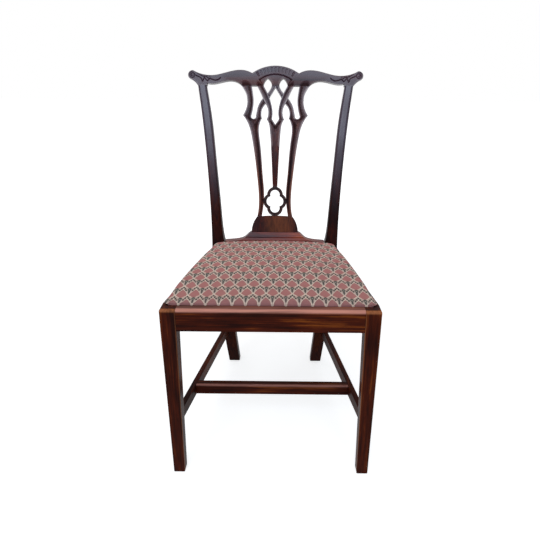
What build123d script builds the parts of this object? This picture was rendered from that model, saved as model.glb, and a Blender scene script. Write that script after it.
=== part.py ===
from build123d import *
import os
from math import cos, hypot, radians, sin, sqrt, tan

# Side chair with a pierced splat back, stretchers and a lift-out upholstered seat.
# Millimetres. +X is the viewer's right, the chair faces -Y, +Z is up, the floor is z = 0.
# Left and right are the viewer's. The right-hand pieces are modelled and mirrored to the left.

# Overall sizes
FRONT_WIDTH = 486.0          # across the outer faces of the front legs
BACK_WIDTH = 379.0           # across the outer faces of the rear legs, at the seat
SEAT_DEPTH = 408.0           # front of the front legs to front of the rear legs
SEAT_HEIGHT = 448.0          # floor to the top of the seat rails
BACK_LENGTH = 472.0          # up the raked back, seat rails to the underside of the crest rail
BACK_RAKE = 10.65            # degrees that the back leans from upright

# Joinery
CLEARANCE = 0.15             # round every tenon, screw and tack
SHOULDER = 1.0               # how far a cutting tool runs past the face that it opens

# Seat rails
RAIL_HEIGHT = 52.5
SIDE_RAIL_THICKNESS = 28.0
RABBET_DEPTH = 18.0          # from the rails' top down to the ledge that carries the seat
FRONT_LIP = 22.0             # width of the front rail's top in front of the seat
SIDE_LIP = 12.0
EDGE_ROUND = 7.0             # rounded front top edge of the front rail and front legs
SIDE_EDGE_ROUND = 4.0        # rounded outer top edge of the side rails and front legs
REAR_RAIL_PROUD = 12.0       # the rear rail stands in front of the stiles, to carry the seat
REAR_RAIL_THICKNESS = 36.0
REAR_LEDGE = 10.5

# Tenons of the seat rails
RAIL_TENON_THICKNESS = 9.0
RAIL_TENON_DROP = 2.0        # top of the tenon under the ledge
RAIL_TENON_HEIGHT = 26.0
FRONT_TENON_LENGTH = 24.0
FRONT_TENON_SET = 7.5        # behind the front face of the rail
SIDE_TENON_SET = 9.5         # inside the outer face of the rail
SIDE_TENON_FRONT = 16.0
SIDE_TENON_REAR = 12.0
REAR_TENON_LENGTH = 20.0
REAR_TENON_BACK = 2.5        # in front of the rear rail's back face

# Front legs
FRONT_LEG = 35.0             # square, at the seat
FRONT_FOOT = 27.0            # square, at the floor
FRONT_FOOT_SET = 3.0         # the foot's outer face inside the head's
LEG_ARRIS = 1.6

# Rear legs, which run up into the stiles of the back
REAR_LEG_WIDTH = 40.0
REAR_LEG_DEPTH = 42.0
REAR_FOOT_WIDTH = 36.0
REAR_FOOT_DEPTH = 30.0
REAR_FOOT_SPREAD = 318.0     # across the outer faces of the rear feet
REAR_FOOT_KICK = 71.0        # the rear feet stand this far behind the stiles at the seat
KICK_CURVE = 1.6             # power of the curve from the seat to the rear foot
LEG_ROUND = 3.0
STILE_ROUND = 8.0
STILE_FLARE = 73.0           # height over which the stile narrows above the seat
STILE_WIDTH = 31.5           # above that flare
STILE_TOP_WIDTH = 26.5
STILE_TOP_DEPTH = 24.0
STILE_TOP_SPREAD = 450.0     # across the outer faces of the stiles under the crest rail
STILE_BOW = 25.0             # how far the stile curves in from a straight line between its ends
STILE_TENON = (13.0, 9.0, 17.0)   # width, depth, length

# Stretchers
STRETCHER_TOP = 155.0
SIDE_STRETCHER_HEIGHT = 30.0
SIDE_STRETCHER_THICKNESS = 14.0
SIDE_STRETCHER_FRONT_SET = 5.0    # inside the outer face of the front leg
SIDE_STRETCHER_REAR_SET = 2.0     # inside the outer face of the rear leg
CROSS_STRETCHER_BACK = 136.0      # front of the front legs to the front of the cross stretcher
CROSS_STRETCHER_HEIGHT = 28.5
CROSS_STRETCHER_DEPTH = 20.0
STRETCHER_ROUND = 3.0
STRETCHER_TENON_THICKNESS = 7.0
STRETCHER_TENON_HEIGHT = 18.0
STRETCHER_TENON_LENGTH = 15.0
CROSS_TENON_LENGTH = 9.0

# Crest rail, in x and height above its joint with the stiles
CREST_THICKNESS = 22.0
CREST_ARCH_RISE = 55.5       # top of the fluted arch
CREST_ARCH_HALF = 67.5       # half the span of that arch
CREST_ARCH_FOOT = 34.5       # height of the arch's ends
CREST_TOP = ((0.845, 31.0), (0.663, 28.6), (0.415, 37.6), (0.22, 43.3))   # share from arch to ear, height
CREST_UNDER = ((0.115, 9.0), (0.28, 13.6), (0.475, 12.0), (0.83, 4.8))   # share from splat to stile, height
VOLUTE_OUT = 14.5            # centre of the scrolled ear beyond the stile's outer face
VOLUTE_RISE = 28.5           # centre of the scrolled ear above the joint
VOLUTE_RADIUS = 13.0
VOLUTE_ARC = (-40.0, 20.0, 100.0)   # degrees at the start, tip and end of the ear's round edge
EAR_HOLLOW = (8.0, 9.5)      # middle of the hollow under the ear, from the stile's outer corner
EAR_STEP = 6.0               # underside of the rail above the joint, beside the stile
VOLUTE_EYE = 6.5             # radius of the raised eye of the scroll
VOLUTE_PROUD = 2.0
CREST_EDGE_ROUND = 3.0
FLUTE_COUNT = 11
FLUTE_FAN = 56.0             # degrees between the first and last flute
FLUTE_RADIUS = 3.6
FLUTE_LENGTH = 14.0
FLUTE_DEPTH = 1.8
FLUTE_INSET = 5.0            # from the arch's edge to the end of a flute
TYMPANUM_RISE = 31.0         # top of the sunk line under the flutes
TYMPANUM_HALF = 46.0
TYMPANUM_FOOT = 16.0
TYMPANUM_GROOVE = 1.6        # width and depth of that line

# Splat
SPLAT_THICKNESS = 11.0
SPLAT_SET = 1.0              # behind the front of the crest rail
SPLAT_TONGUE = 7.0           # thickness of its tongues in the crest rail and the shoe
SPLAT_TONGUE_LENGTH = 9.0
SPLAT_FOOT_TONGUE = 24.0
TONGUE_INSET = 3.0           # the upper tongues are this much narrower than their straps, each side
FOOT_TONGUE_INSET = 6.0
STRAP_LIP = 3.4              # raised edge of the straps
STRAP_HOLLOW = 1.4           # depth between those edges
BLOCK_HEIGHT = 47.0
BLOCK_HALF_WIDTH = 69.5
BLOCK_CROWN = 3.0
BLOCK_WAIST = (64.8, 27.0)   # a point on its hollow side, above the shoe
QUATREFOIL_RISE = 93.0       # centre above the shoe
QUATREFOIL_HALF_HEIGHT = 34.0
QUATREFOIL_HALF_WIDTH = 25.0
QUATREFOIL_CUSP = (13.0, 15.0)
QUATREFOIL_RING = 9.5
STEM_FOOT_HALF = 6.7
OUTER_BRANCH_TOP = (98.2, 69.4)     # outer and inner edge of the outer strap at the crest rail
CROSS_STRAP_TOP = (54.0, 35.2)
INNER_STRAP_TOP = 10.7
ALMOND_TOP = (23.0, 21.0)           # point of the almond opening, above the joint
ALMOND_SIDES = ((12.7, 10.0), (32.1, 10.0))
ALMOND_FOOT = (23.2, 21.4)          # its lower point, below the joint
POCKET_FOOT = (61.2, 93.0)          # foot of the round pocket between the branches, below the joint
FORK_SIDE = (10.6, 94.0)            # inner edge of the fork in the middle stem, below the joint
FORK_SHOULDER = (25.2, 95.0)
FORK_FOOT = 110.0

# Shoe under the splat
SHOE_RISE = 44.0             # above the seat rails
SHOE_END_RISE = 16.0         # at the stiles
SHOE_TOP_MARGIN = 0.5        # beyond the splat's base, each side
SHOE_SWEEP = ((0.46, 0.18), (0.245, 0.44), (0.13, 0.76))   # shares of the swept end's length and rise
SHOE_DEPTH = 25.0
SHOE_OVOLO_FOOT = 11.0
SHOE_OVOLO_MIDDLE = (1.2, 22.5)   # behind the stiles' face, above the rail
SHOE_OVOLO_SET = 4.5
SHOE_BEVEL_RISE = 31.0       # foot of the bevel over the ovolo
SHOE_BEVEL_SET = 3.2
SHOE_QUIRK = 3.0             # height of the groove between the ovolo and the bevel

# Corner blocks and their screws
BLOCK_REACH = 60.0           # along each rail
CORNER_BLOCK_TOP = 2.0       # under the ledge
CORNER_BLOCK_HEIGHT = 25.0
SCREW_SHANK = 4.0
SCREW_HEAD = 8.0
SCREW_HEAD_HEIGHT = 3.0
SCREW_SEAT = 14.0            # from the rail's face to the underside of the head
SCREW_GRIP = 15.0            # depth of the screw in the rail
SCREW_SHARE = 0.45           # place along the block, as a share of its reach
SCREW_LEVELS = (7.0, 18.5)   # heights above the block's bottom

# Lift-out seat
SEAT_GAP = 1.0               # between the covered seat and the rails' lips
SEAT_BED = 0.3               # between the covered seat and the ledge
SEAT_LIFT_CLEAR = 1.0        # between the covered seat and the stiles and shoe
COVER_THICKNESS = 1.4
COVER_TURN_UNDER = 28.0
UPHOLSTERY_FIT = 0.2         # between the cover, the frame and the stuffing
FRAME_THICKNESS = 15.0
FRAME_WIDTH = 50.0
FRAME_TENON = (30.0, 6.0, 18.0)   # width, thickness, length
SEAT_CROWN_RISE = 26.0       # middle of the seat above the rails
SEAT_CROWN_RADIUS = 2600.0
SEAT_EDGE_ROUND = 10.0
SEAT_CORNER = 14.0           # corners in plan
SEAT_CORNER_LEAST = 2.0      # the same corners on the pieces well inside the seat

# Webbing, hessian and tacks
WEBBING_WIDTH = 50.0
WEBBING_THICKNESS = 1.6
WEBBING_COUNT = 3            # each way
WEBBING_LANDING = 32.0       # length of each end on the seat's frame
WEBBING_FLAT = 56.0          # flat length at each crossing
WEAVE_GAP = 0.2
HESSIAN_THICKNESS = 1.0
HESSIAN_SET = 12.0           # inside the seat frame's edge
TACK_HEAD = 7.0
TACK_HEAD_HEIGHT = 0.9
TACK_SHANK = 1.6
TACK_LENGTH = 10.0
COVER_TACK_SET = 22.0        # from the seat's edge
COVER_TACKS_A_SIDE = 5

# Places that follow from those sizes
RAKE = radians(BACK_RAKE)
TOTAL_DEPTH = SEAT_DEPTH + (BACK_LENGTH + CREST_ARCH_RISE) * sin(RAKE) + CREST_THICKNESS * cos(RAKE)
FRONT_Y = -TOTAL_DEPTH / 2
STILE_Y = FRONT_Y + SEAT_DEPTH
LEG_BACK_Y = FRONT_Y + FRONT_LEG
RAIL_BOTTOM = SEAT_HEIGHT - RAIL_HEIGHT
LEDGE_Z = SEAT_HEIGHT - RABBET_DEPTH
TENON_TOP = LEDGE_Z - RAIL_TENON_DROP
TENON_BOTTOM = TENON_TOP - RAIL_TENON_HEIGHT
HALF_FRONT = FRONT_WIDTH / 2
HALF_BACK = BACK_WIDTH / 2
REAR_RAIL_FRONT = STILE_Y - REAR_RAIL_PROUD
REAR_RAIL_BACK = REAR_RAIL_FRONT + REAR_RAIL_THICKNESS
REAR_LIP_Y = REAR_RAIL_FRONT + REAR_LEDGE
STILE_INNER = HALF_BACK - REAR_LEG_WIDTH
SPLAY = (HALF_FRONT - HALF_BACK) / (STILE_Y - LEG_BACK_Y)
SPLAY_COS = 1 / sqrt(1 + SPLAY ** 2)
SPLAT_FOOT = SHOE_RISE / cos(RAKE)
STEM_FOOT_RISE = QUATREFOIL_RISE + QUATREFOIL_HALF_HEIGHT + QUATREFOIL_RING / 2
SHOE_TOP_HALF = BLOCK_HALF_WIDTH + SHOE_TOP_MARGIN
VOLUTE = (STILE_TOP_SPREAD / 2 + VOLUTE_OUT, VOLUTE_RISE)
SEAT_FRONT_Y = FRONT_Y + FRONT_LIP + SEAT_GAP
SEAT_BACK_Y = REAR_LIP_Y - SEAT_LIFT_CLEAR
SEAT_BOTTOM = LEDGE_Z + SEAT_BED
FRAME_SET = COVER_THICKNESS + UPHOLSTERY_FIT
FRAME_BOTTOM = SEAT_BOTTOM + FRAME_SET
FRAME_TOP = FRAME_BOTTOM + FRAME_THICKNESS
WEAVE_RISE = WEBBING_THICKNESS + WEAVE_GAP
HESSIAN_BOTTOM = FRAME_TOP + WEAVE_RISE + WEBBING_THICKNESS + WEAVE_GAP

# The back's own plane: x to the right, y up the rake, z out of the front
BACK = Plane(origin=(0, STILE_Y, SEAT_HEIGHT), x_dir=(1, 0, 0), z_dir=(0, -cos(RAKE), sin(RAKE)))


def block(x0, x1, y0, y1, z0, z1):
    """Rectangular solid between two corners."""
    return Pos(x0, y0, z0) * Box(x1 - x0, y1 - y0, z1 - z0, align=(Align.MIN, Align.MIN, Align.MIN))


def prism(points, z0, z1):
    """Upright solid on a plan outline."""
    return extrude(Pos(0, 0, z0) * make_face(Polyline(*points, close=True)), amount=z1 - z0, dir=(0, 0, 1))


def mirrored(piece):
    """The same piece on the other side of the chair."""
    return mirror(piece, about=Plane.YZ)


def on_back(sketch, front, depth):
    """Solid of a sketch on the raked back, from `front` behind the stiles' face and `depth` thick."""
    return extrude(BACK.offset(-front).location * sketch, amount=depth, dir=-BACK.z_dir)


def side_x(y, inset=0.0):
    """X of the right side rail's outer face at y, moved in by `inset` square to the face."""
    return HALF_BACK + SPLAY * (STILE_Y - y) - inset / SPLAY_COS


def side_strip(y0, y1, inset0, inset1, z0, z1):
    """Solid that follows the right side rail between two y and two insets."""
    corners = [(side_x(y0, inset0), y0), (side_x(y1, inset0), y1),
               (side_x(y1, inset1), y1), (side_x(y0, inset1), y0)]
    return prism(corners, z0, z1)


def edge_rounder(length, radius):
    """Bar along X that rounds a top front edge at y = 0, z = 0 when it is cut away."""
    corner = Pos(radius, -radius) * (Rectangle(radius, radius, align=(Align.MAX, Align.MIN)) - Circle(radius))
    profile = Plane(origin=(0, 0, 0), x_dir=(0, 1, 0), z_dir=(1, 0, 0)).location * corner
    return extrude(profile, amount=length / 2, dir=(1, 0, 0), both=True)


def rear_outer(z):
    """X of the rear leg's outer face at height z."""
    if z <= RAIL_BOTTOM:
        foot = REAR_FOOT_SPREAD / 2
        return foot + (HALF_BACK - foot) * z / RAIL_BOTTOM
    if z <= SEAT_HEIGHT:
        return HALF_BACK
    share = (z - SEAT_HEIGHT) / (BACK_LENGTH * cos(RAKE))
    straight = HALF_BACK + (STILE_TOP_SPREAD / 2 - HALF_BACK) * share
    return straight - STILE_BOW * share * (1 - share)


def rear_width(z):
    """Width of the rear leg across the chair at height z."""
    if z <= RAIL_BOTTOM:
        return REAR_FOOT_WIDTH + (REAR_LEG_WIDTH - REAR_FOOT_WIDTH) * z / RAIL_BOTTOM
    rise = max(z - SEAT_HEIGHT, 0)
    if rise <= STILE_FLARE:
        ease = (1 - rise / STILE_FLARE) ** 2
        return STILE_WIDTH + (REAR_LEG_WIDTH - STILE_WIDTH) * ease
    share = (rise - STILE_FLARE) / (BACK_LENGTH * cos(RAKE) - STILE_FLARE)
    return STILE_WIDTH + (STILE_TOP_WIDTH - STILE_WIDTH) * sqrt(min(share, 1.0))


def rear_front_y(z):
    """Y of the rear leg's front face at height z."""
    if z <= RAIL_BOTTOM:
        return STILE_Y + REAR_FOOT_KICK * (1 - z / RAIL_BOTTOM) ** KICK_CURVE
    return STILE_Y + max(z - SEAT_HEIGHT, 0) * tan(RAKE)


def rear_depth(z):
    """Depth of the rear leg at height z."""
    if z <= RAIL_BOTTOM:
        return REAR_FOOT_DEPTH + (REAR_LEG_DEPTH - REAR_FOOT_DEPTH) * z / RAIL_BOTTOM
    share = max(z - SEAT_HEIGHT, 0) / (BACK_LENGTH * cos(RAKE))
    return REAR_LEG_DEPTH + (STILE_TOP_DEPTH - REAR_LEG_DEPTH) * sqrt(min(share, 1.0))


def rear_section(z, corner):
    """Rounded cross-section of the right rear leg at height z."""
    width = rear_width(z)
    depth = rear_depth(z)
    centre = (rear_outer(z) - width / 2, rear_front_y(z) + depth / 2, z)
    return Pos(*centre) * RectangleRounded(width, depth, corner)


def make_front_leg():
    """Right front leg before its mortises: square head, tapered mostly on the two inner sides."""
    head = Pos(HALF_FRONT - FRONT_LEG / 2, FRONT_Y + FRONT_LEG / 2) * RectangleRounded(
        FRONT_LEG, FRONT_LEG, LEG_ARRIS)
    foot_x = HALF_FRONT - FRONT_FOOT_SET - FRONT_FOOT / 2
    foot = Pos(foot_x, FRONT_Y + FRONT_FOOT / 2) * RectangleRounded(
        FRONT_FOOT, FRONT_FOOT, LEG_ARRIS)
    taper = loft([foot, Pos(0, 0, RAIL_BOTTOM) * head], ruled=True)
    return taper + extrude(Pos(0, 0, RAIL_BOTTOM) * head, amount=RAIL_HEIGHT)


def make_rear_leg():
    """Right rear leg before its mortises, with the tenon for the crest rail."""
    lower = loft([rear_section(RAIL_BOTTOM * share, LEG_ROUND) for share in (0, 0.25, 0.5, 0.75, 1)])
    middle = extrude(rear_section(RAIL_BOTTOM, LEG_ROUND), amount=RAIL_HEIGHT, dir=(0, 0, 1))
    reach = BACK_LENGTH + STILE_TOP_DEPTH
    sections = [rear_section(SEAT_HEIGHT, LEG_ROUND),
                rear_section(SEAT_HEIGHT + STILE_FLARE / 3, (LEG_ROUND + STILE_ROUND) / 2)]
    sections += [rear_section(SEAT_HEIGHT + rise, STILE_ROUND)
                 for rise in (STILE_FLARE, 2 * STILE_FLARE, 0.6 * reach, 0.8 * reach, reach)]
    upper = loft(sections)
    joint = Plane(origin=BACK.from_local_coords((0, BACK_LENGTH, 0)), x_dir=(1, 0, 0), z_dir=BACK.y_dir)
    upper = split(upper, bisect_by=joint, keep=Keep.BOTTOM)
    return lower + middle + upper + stile_tenon(0)


def stile_tenon(clearance):
    """Tenon on the right stile, grown by `clearance` for the crest rail's mortise."""
    width, depth, length = STILE_TENON
    centre_x = STILE_TOP_SPREAD / 2 - STILE_TOP_WIDTH / 2
    sketch = Pos(centre_x, BACK_LENGTH - SHOULDER) * Rectangle(
        width + 2 * clearance, length + SHOULDER + clearance, align=(Align.CENTER, Align.MIN))
    front = (CREST_THICKNESS - depth) / 2 - clearance
    return on_back(sketch, front, depth + 2 * clearance)


def front_tenon(clearance):
    """Tenon of the front rail in the right front leg."""
    shoulder = HALF_FRONT - FRONT_LEG
    near = FRONT_Y + FRONT_TENON_SET
    return block(shoulder - SHOULDER, shoulder + FRONT_TENON_LENGTH + clearance,
                 near - clearance, near + RAIL_TENON_THICKNESS + clearance,
                 TENON_BOTTOM - clearance, TENON_TOP + clearance)


def side_tenon_front(clearance):
    """Tenon of the right side rail in the front leg."""
    return side_strip(LEG_BACK_Y - SIDE_TENON_FRONT - clearance, LEG_BACK_Y + SHOULDER,
                      SIDE_TENON_SET - clearance, SIDE_TENON_SET + RAIL_TENON_THICKNESS + clearance,
                      TENON_BOTTOM - clearance, TENON_TOP + clearance)


def side_tenon_rear(clearance):
    """Tenon of the right side rail in the rear leg."""
    return side_strip(STILE_Y - SHOULDER, STILE_Y + SIDE_TENON_REAR + clearance,
                      SIDE_TENON_SET - clearance, SIDE_TENON_SET + RAIL_TENON_THICKNESS + clearance,
                      TENON_BOTTOM - clearance, TENON_TOP + clearance)


def rear_tenon(clearance):
    """Tenon of the rear rail in the right rear leg."""
    far = REAR_RAIL_BACK - REAR_TENON_BACK
    return block(STILE_INNER - SHOULDER, STILE_INNER + REAR_TENON_LENGTH + clearance,
                 far - RAIL_TENON_THICKNESS - clearance, far + clearance,
                 TENON_BOTTOM - clearance, TENON_TOP + clearance)


def make_front_rail():
    """Front seat rail: rounded top edge, rabbet for the seat and a tenon at each end."""
    half = HALF_FRONT - FRONT_LEG
    rail = block(-half, half, FRONT_Y, LEG_BACK_Y, RAIL_BOTTOM, SEAT_HEIGHT)
    rail -= block(-half, half, FRONT_Y + FRONT_LIP, LEG_BACK_Y, LEDGE_Z, SEAT_HEIGHT)
    rail -= Pos(0, FRONT_Y, SEAT_HEIGHT) * edge_rounder(FRONT_WIDTH, EDGE_ROUND)
    return rail + front_tenon(0) + mirrored(front_tenon(0))


def make_side_rail():
    """Right side seat rail with its rabbet and tenons."""
    rail = side_strip(LEG_BACK_Y, STILE_Y, 0, SIDE_RAIL_THICKNESS, RAIL_BOTTOM, SEAT_HEIGHT)
    long_top = rail.edges().group_by(Axis.Z)[-1].filter_by(lambda edge: edge.length > SEAT_DEPTH / 2)
    rail = fillet(long_top.sort_by(Axis.X)[-1], SIDE_EDGE_ROUND)
    rail -= side_strip(LEG_BACK_Y - SHOULDER, STILE_Y + SHOULDER, SIDE_LIP, SIDE_RAIL_THICKNESS + SHOULDER,
                       LEDGE_Z, SEAT_HEIGHT + SHOULDER)
    return rail + side_tenon_front(0) + side_tenon_rear(0)


def make_rear_rail():
    """Rear seat rail under the shoe, with a ledge for the seat."""
    rail = block(-STILE_INNER, STILE_INNER, REAR_RAIL_FRONT, REAR_RAIL_BACK, RAIL_BOTTOM, SEAT_HEIGHT)
    rail -= block(-STILE_INNER, STILE_INNER, REAR_RAIL_FRONT, REAR_LIP_Y, LEDGE_Z, SEAT_HEIGHT)
    return rail + rear_tenon(0) + mirrored(rear_tenon(0))


def stretcher_line(y):
    """X of the middle of the right side stretcher at y."""
    level = STRETCHER_TOP - SIDE_STRETCHER_HEIGHT / 2
    front_x = HALF_FRONT - SIDE_STRETCHER_FRONT_SET - SIDE_STRETCHER_THICKNESS / 2
    rear_x = rear_outer(level) - SIDE_STRETCHER_REAR_SET - SIDE_STRETCHER_THICKNESS / 2
    share = (y - FRONT_Y) / (rear_front_y(level) - FRONT_Y)
    return front_x + (rear_x - front_x) * share


def stretcher_bar(y0, y1, thickness, z0, z1):
    """Bar along the right side stretcher's line between two y."""
    half = thickness / 2
    corners = [(stretcher_line(y0) - half, y0), (stretcher_line(y0) + half, y0),
               (stretcher_line(y1) + half, y1), (stretcher_line(y1) - half, y1)]
    return prism(corners, z0, z1)


def side_stretcher_tenons(clearance):
    """Tenons of the right side stretcher in both legs."""
    middle = STRETCHER_TOP - SIDE_STRETCHER_HEIGHT / 2
    low = middle - STRETCHER_TENON_HEIGHT / 2 - clearance
    high = middle + STRETCHER_TENON_HEIGHT / 2 + clearance
    thickness = STRETCHER_TENON_THICKNESS + 2 * clearance
    leg_back = FRONT_Y + FRONT_FOOT + (FRONT_LEG - FRONT_FOOT) * middle / RAIL_BOTTOM
    leg_front = rear_front_y(middle)
    reach = STRETCHER_TENON_LENGTH + clearance
    return (stretcher_bar(leg_back - reach, leg_back + reach, thickness, low, high)
            + stretcher_bar(leg_front - reach, leg_front + reach, thickness, low, high))


def make_side_stretcher(front_leg, rear_leg):
    """Right side stretcher, its shoulders cut to the two legs."""
    bar = stretcher_bar(FRONT_Y + FRONT_FOOT / 2, rear_front_y(0) + REAR_FOOT_DEPTH / 2,
                        SIDE_STRETCHER_THICKNESS, STRETCHER_TOP - SIDE_STRETCHER_HEIGHT, STRETCHER_TOP)
    bar = fillet(bar.edges().filter_by(lambda edge: edge.length > SEAT_DEPTH / 2), STRETCHER_ROUND / 2)
    bar = bar - front_leg - rear_leg
    span = max(bar.solids(), key=lambda solid: solid.volume)
    return Part(span.wrapped) + side_stretcher_tenons(0)


def cross_tenons(clearance):
    """Tenons of the cross stretcher in the right side stretcher."""
    middle_y = FRONT_Y + CROSS_STRETCHER_BACK + CROSS_STRETCHER_DEPTH / 2
    middle_z = STRETCHER_TOP - CROSS_STRETCHER_HEIGHT / 2
    face = stretcher_line(middle_y) - SIDE_STRETCHER_THICKNESS / 2
    half = STRETCHER_TENON_THICKNESS / 2 + clearance
    half_height = STRETCHER_TENON_HEIGHT / 2 + clearance
    return block(face - CROSS_TENON_LENGTH, face + CROSS_TENON_LENGTH + clearance,
                 middle_y - half, middle_y + half, middle_z - half_height, middle_z + half_height)


def make_cross_stretcher():
    """Cross stretcher between the two side stretchers."""
    near = FRONT_Y + CROSS_STRETCHER_BACK
    bar = block(-HALF_FRONT, HALF_FRONT, near, near + CROSS_STRETCHER_DEPTH,
                STRETCHER_TOP - CROSS_STRETCHER_HEIGHT, STRETCHER_TOP)
    bar = fillet(bar.edges().filter_by(Axis.X).group_by(Axis.Z)[-1], STRETCHER_ROUND)
    far = near + CROSS_STRETCHER_DEPTH
    half = SIDE_STRETCHER_THICKNESS / 2
    shoulder = [(stretcher_line(y) - half, y) for y in (near - SHOULDER, far + SHOULDER)]
    outline = shoulder + [(-x, y) for x, y in reversed(shoulder)]
    bar = bar & prism(outline, 0, SEAT_HEIGHT)
    return bar + cross_tenons(0) + mirrored(cross_tenons(0))


def between(start, end, stations):
    """Points at shares of the way in x between two places, each with its own height."""
    return [(start + (end - start) * share, height) for share, height in stations]


def crest_outline():
    """Front outline of the crest rail in x and height above its joint."""
    stile_outer = STILE_TOP_SPREAD / 2
    stile_inner = stile_outer - STILE_TOP_WIDTH
    under, tip, over = [(VOLUTE[0] + VOLUTE_RADIUS * cos(radians(turn)),
                         VOLUTE[1] + VOLUTE_RADIUS * sin(radians(turn))) for turn in VOLUTE_ARC]
    hollow = (stile_outer + EAR_HOLLOW[0], EAR_HOLLOW[1])
    arch_foot = (CREST_ARCH_HALF, CREST_ARCH_FOOT)
    branch = (OUTER_BRANCH_TOP[0], 0)
    step = (stile_inner, EAR_STEP)
    half = Curve() + [
        Line((0, 0), branch),
        Spline(branch, *between(branch[0], stile_inner, CREST_UNDER), step),
        Line(step, (stile_inner, 0)),
        Line((stile_inner, 0), (stile_outer, 0)),
        ThreePointArc((stile_outer, 0), hollow, under),
        ThreePointArc(under, tip, over),
        Spline(over, *between(arch_foot[0], over[0], CREST_TOP), arch_foot),
    ]
    arch = ThreePointArc(arch_foot, (0, CREST_ARCH_RISE), (-CREST_ARCH_HALF, CREST_ARCH_FOOT))
    return make_face(half.edges() + [arch] + mirror(half, about=Plane.YZ).edges())


def almond_top():
    """The part of the right almond opening that is cut in the crest rail."""
    left_foot = (INNER_STRAP_TOP, 0)
    right_foot = (CROSS_STRAP_TOP[1], 0)
    left_side, right_side = ALMOND_SIDES
    return make_face([ThreePointArc(left_foot, left_side, ALMOND_TOP),
                      ThreePointArc(ALMOND_TOP, right_side, right_foot),
                      Line(right_foot, left_foot)])


def tympanum_line():
    """Sunk line on the crest rail, an arc under the flutes."""
    rise = TYMPANUM_RISE - TYMPANUM_FOOT
    radius = (TYMPANUM_HALF ** 2 + rise ** 2) / (2 * rise)
    ring = Pos(0, TYMPANUM_RISE - radius) * (Circle(radius) - Circle(radius - TYMPANUM_GROOVE))
    window = Pos(0, TYMPANUM_FOOT) * Rectangle(2 * TYMPANUM_HALF, radius, align=(Align.CENTER, Align.MIN))
    return ring & window


def at_crest(sketch):
    """A sketch drawn from the crest rail's joint, moved to its place on the back."""
    return Pos(0, BACK_LENGTH) * sketch


def is_crest_top(edge):
    """True for the long curved edges along the top of the crest rail, front and back."""
    middle = BACK.to_local_coords(edge @ 0.5)
    return edge.length > CREST_ARCH_HALF and middle.Y > BACK_LENGTH + CREST_ARCH_FOOT - CREST_EDGE_ROUND


def make_crest_rail():
    """Crest rail: serpentine outline, scrolled ears, fluted arch, and the splat's mortises."""
    rail = on_back(at_crest(crest_outline()), 0, CREST_THICKNESS)
    top_edges = rail.edges().filter_by(lambda edge: is_crest_top(edge))
    rail = fillet(top_edges, CREST_EDGE_ROUND)
    almond = at_crest(almond_top() + mirrored(almond_top()))
    rail -= on_back(almond, -SHOULDER, CREST_THICKNESS + 2 * SHOULDER)
    arch_radius = (CREST_ARCH_HALF ** 2 + (CREST_ARCH_RISE - CREST_ARCH_FOOT) ** 2) / (
        2 * (CREST_ARCH_RISE - CREST_ARCH_FOOT))
    arch_centre = BACK_LENGTH + CREST_ARCH_RISE - arch_radius
    reach = arch_radius - FLUTE_INSET - FLUTE_LENGTH / 2
    for index in range(FLUTE_COUNT):
        turn = FLUTE_FAN * (index / (FLUTE_COUNT - 1) - 0.5)
        place = Pos(reach * sin(radians(turn)), arch_centre + reach * cos(radians(turn)),
                    FLUTE_RADIUS - FLUTE_DEPTH)
        gouge = place * Rot(0, 0, -turn) * Rot(90, 0, 0) * Cylinder(FLUTE_RADIUS, FLUTE_LENGTH)
        rail -= BACK.location * gouge
    rail -= on_back(at_crest(tympanum_line()), -SHOULDER, TYMPANUM_GROOVE + SHOULDER)
    for side in (-1, 1):
        eye = Pos(side * VOLUTE[0], BACK_LENGTH + VOLUTE[1]) * Circle(VOLUTE_EYE)
        rail += on_back(eye, -VOLUTE_PROUD, 2 * VOLUTE_PROUD)
    rail -= stile_tenon(CLEARANCE) + mirrored(stile_tenon(CLEARANCE))
    return rail - on_back(splat_tongues(CLEARANCE), tongue_front() - CLEARANCE, SPLAT_TONGUE + 2 * CLEARANCE)


def tongue_front():
    """Depth of the splat tongues' front face behind the stiles' face."""
    return SPLAT_SET + (SPLAT_THICKNESS - SPLAT_TONGUE) / 2


def splat_tongues(clearance):
    """Front outline of the splat's tongues in the crest rail."""
    inset = TONGUE_INSET - clearance
    tongues = Pos(0, BACK_LENGTH - SHOULDER) * Rectangle(
        2 * (INNER_STRAP_TOP - inset), SPLAT_TONGUE_LENGTH + SHOULDER + clearance,
        align=(Align.CENTER, Align.MIN))
    for outer, inner in (OUTER_BRANCH_TOP, CROSS_STRAP_TOP):
        for side in (-1, 1):
            tongues += Pos(side * (inner + outer) / 2, BACK_LENGTH - SHOULDER) * Rectangle(
                outer - inner - 2 * inset, SPLAT_TONGUE_LENGTH + SHOULDER + clearance,
                align=(Align.CENTER, Align.MIN))
    return tongues


def below_crest(x, drop):
    """A point of the splat at `drop` below the crest rail's joint."""
    return (x, BACK_LENGTH - drop)


def above_shoe(x, rise):
    """A point of the splat at `rise` above the shoe."""
    return (x, SPLAT_FOOT + rise)


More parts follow.
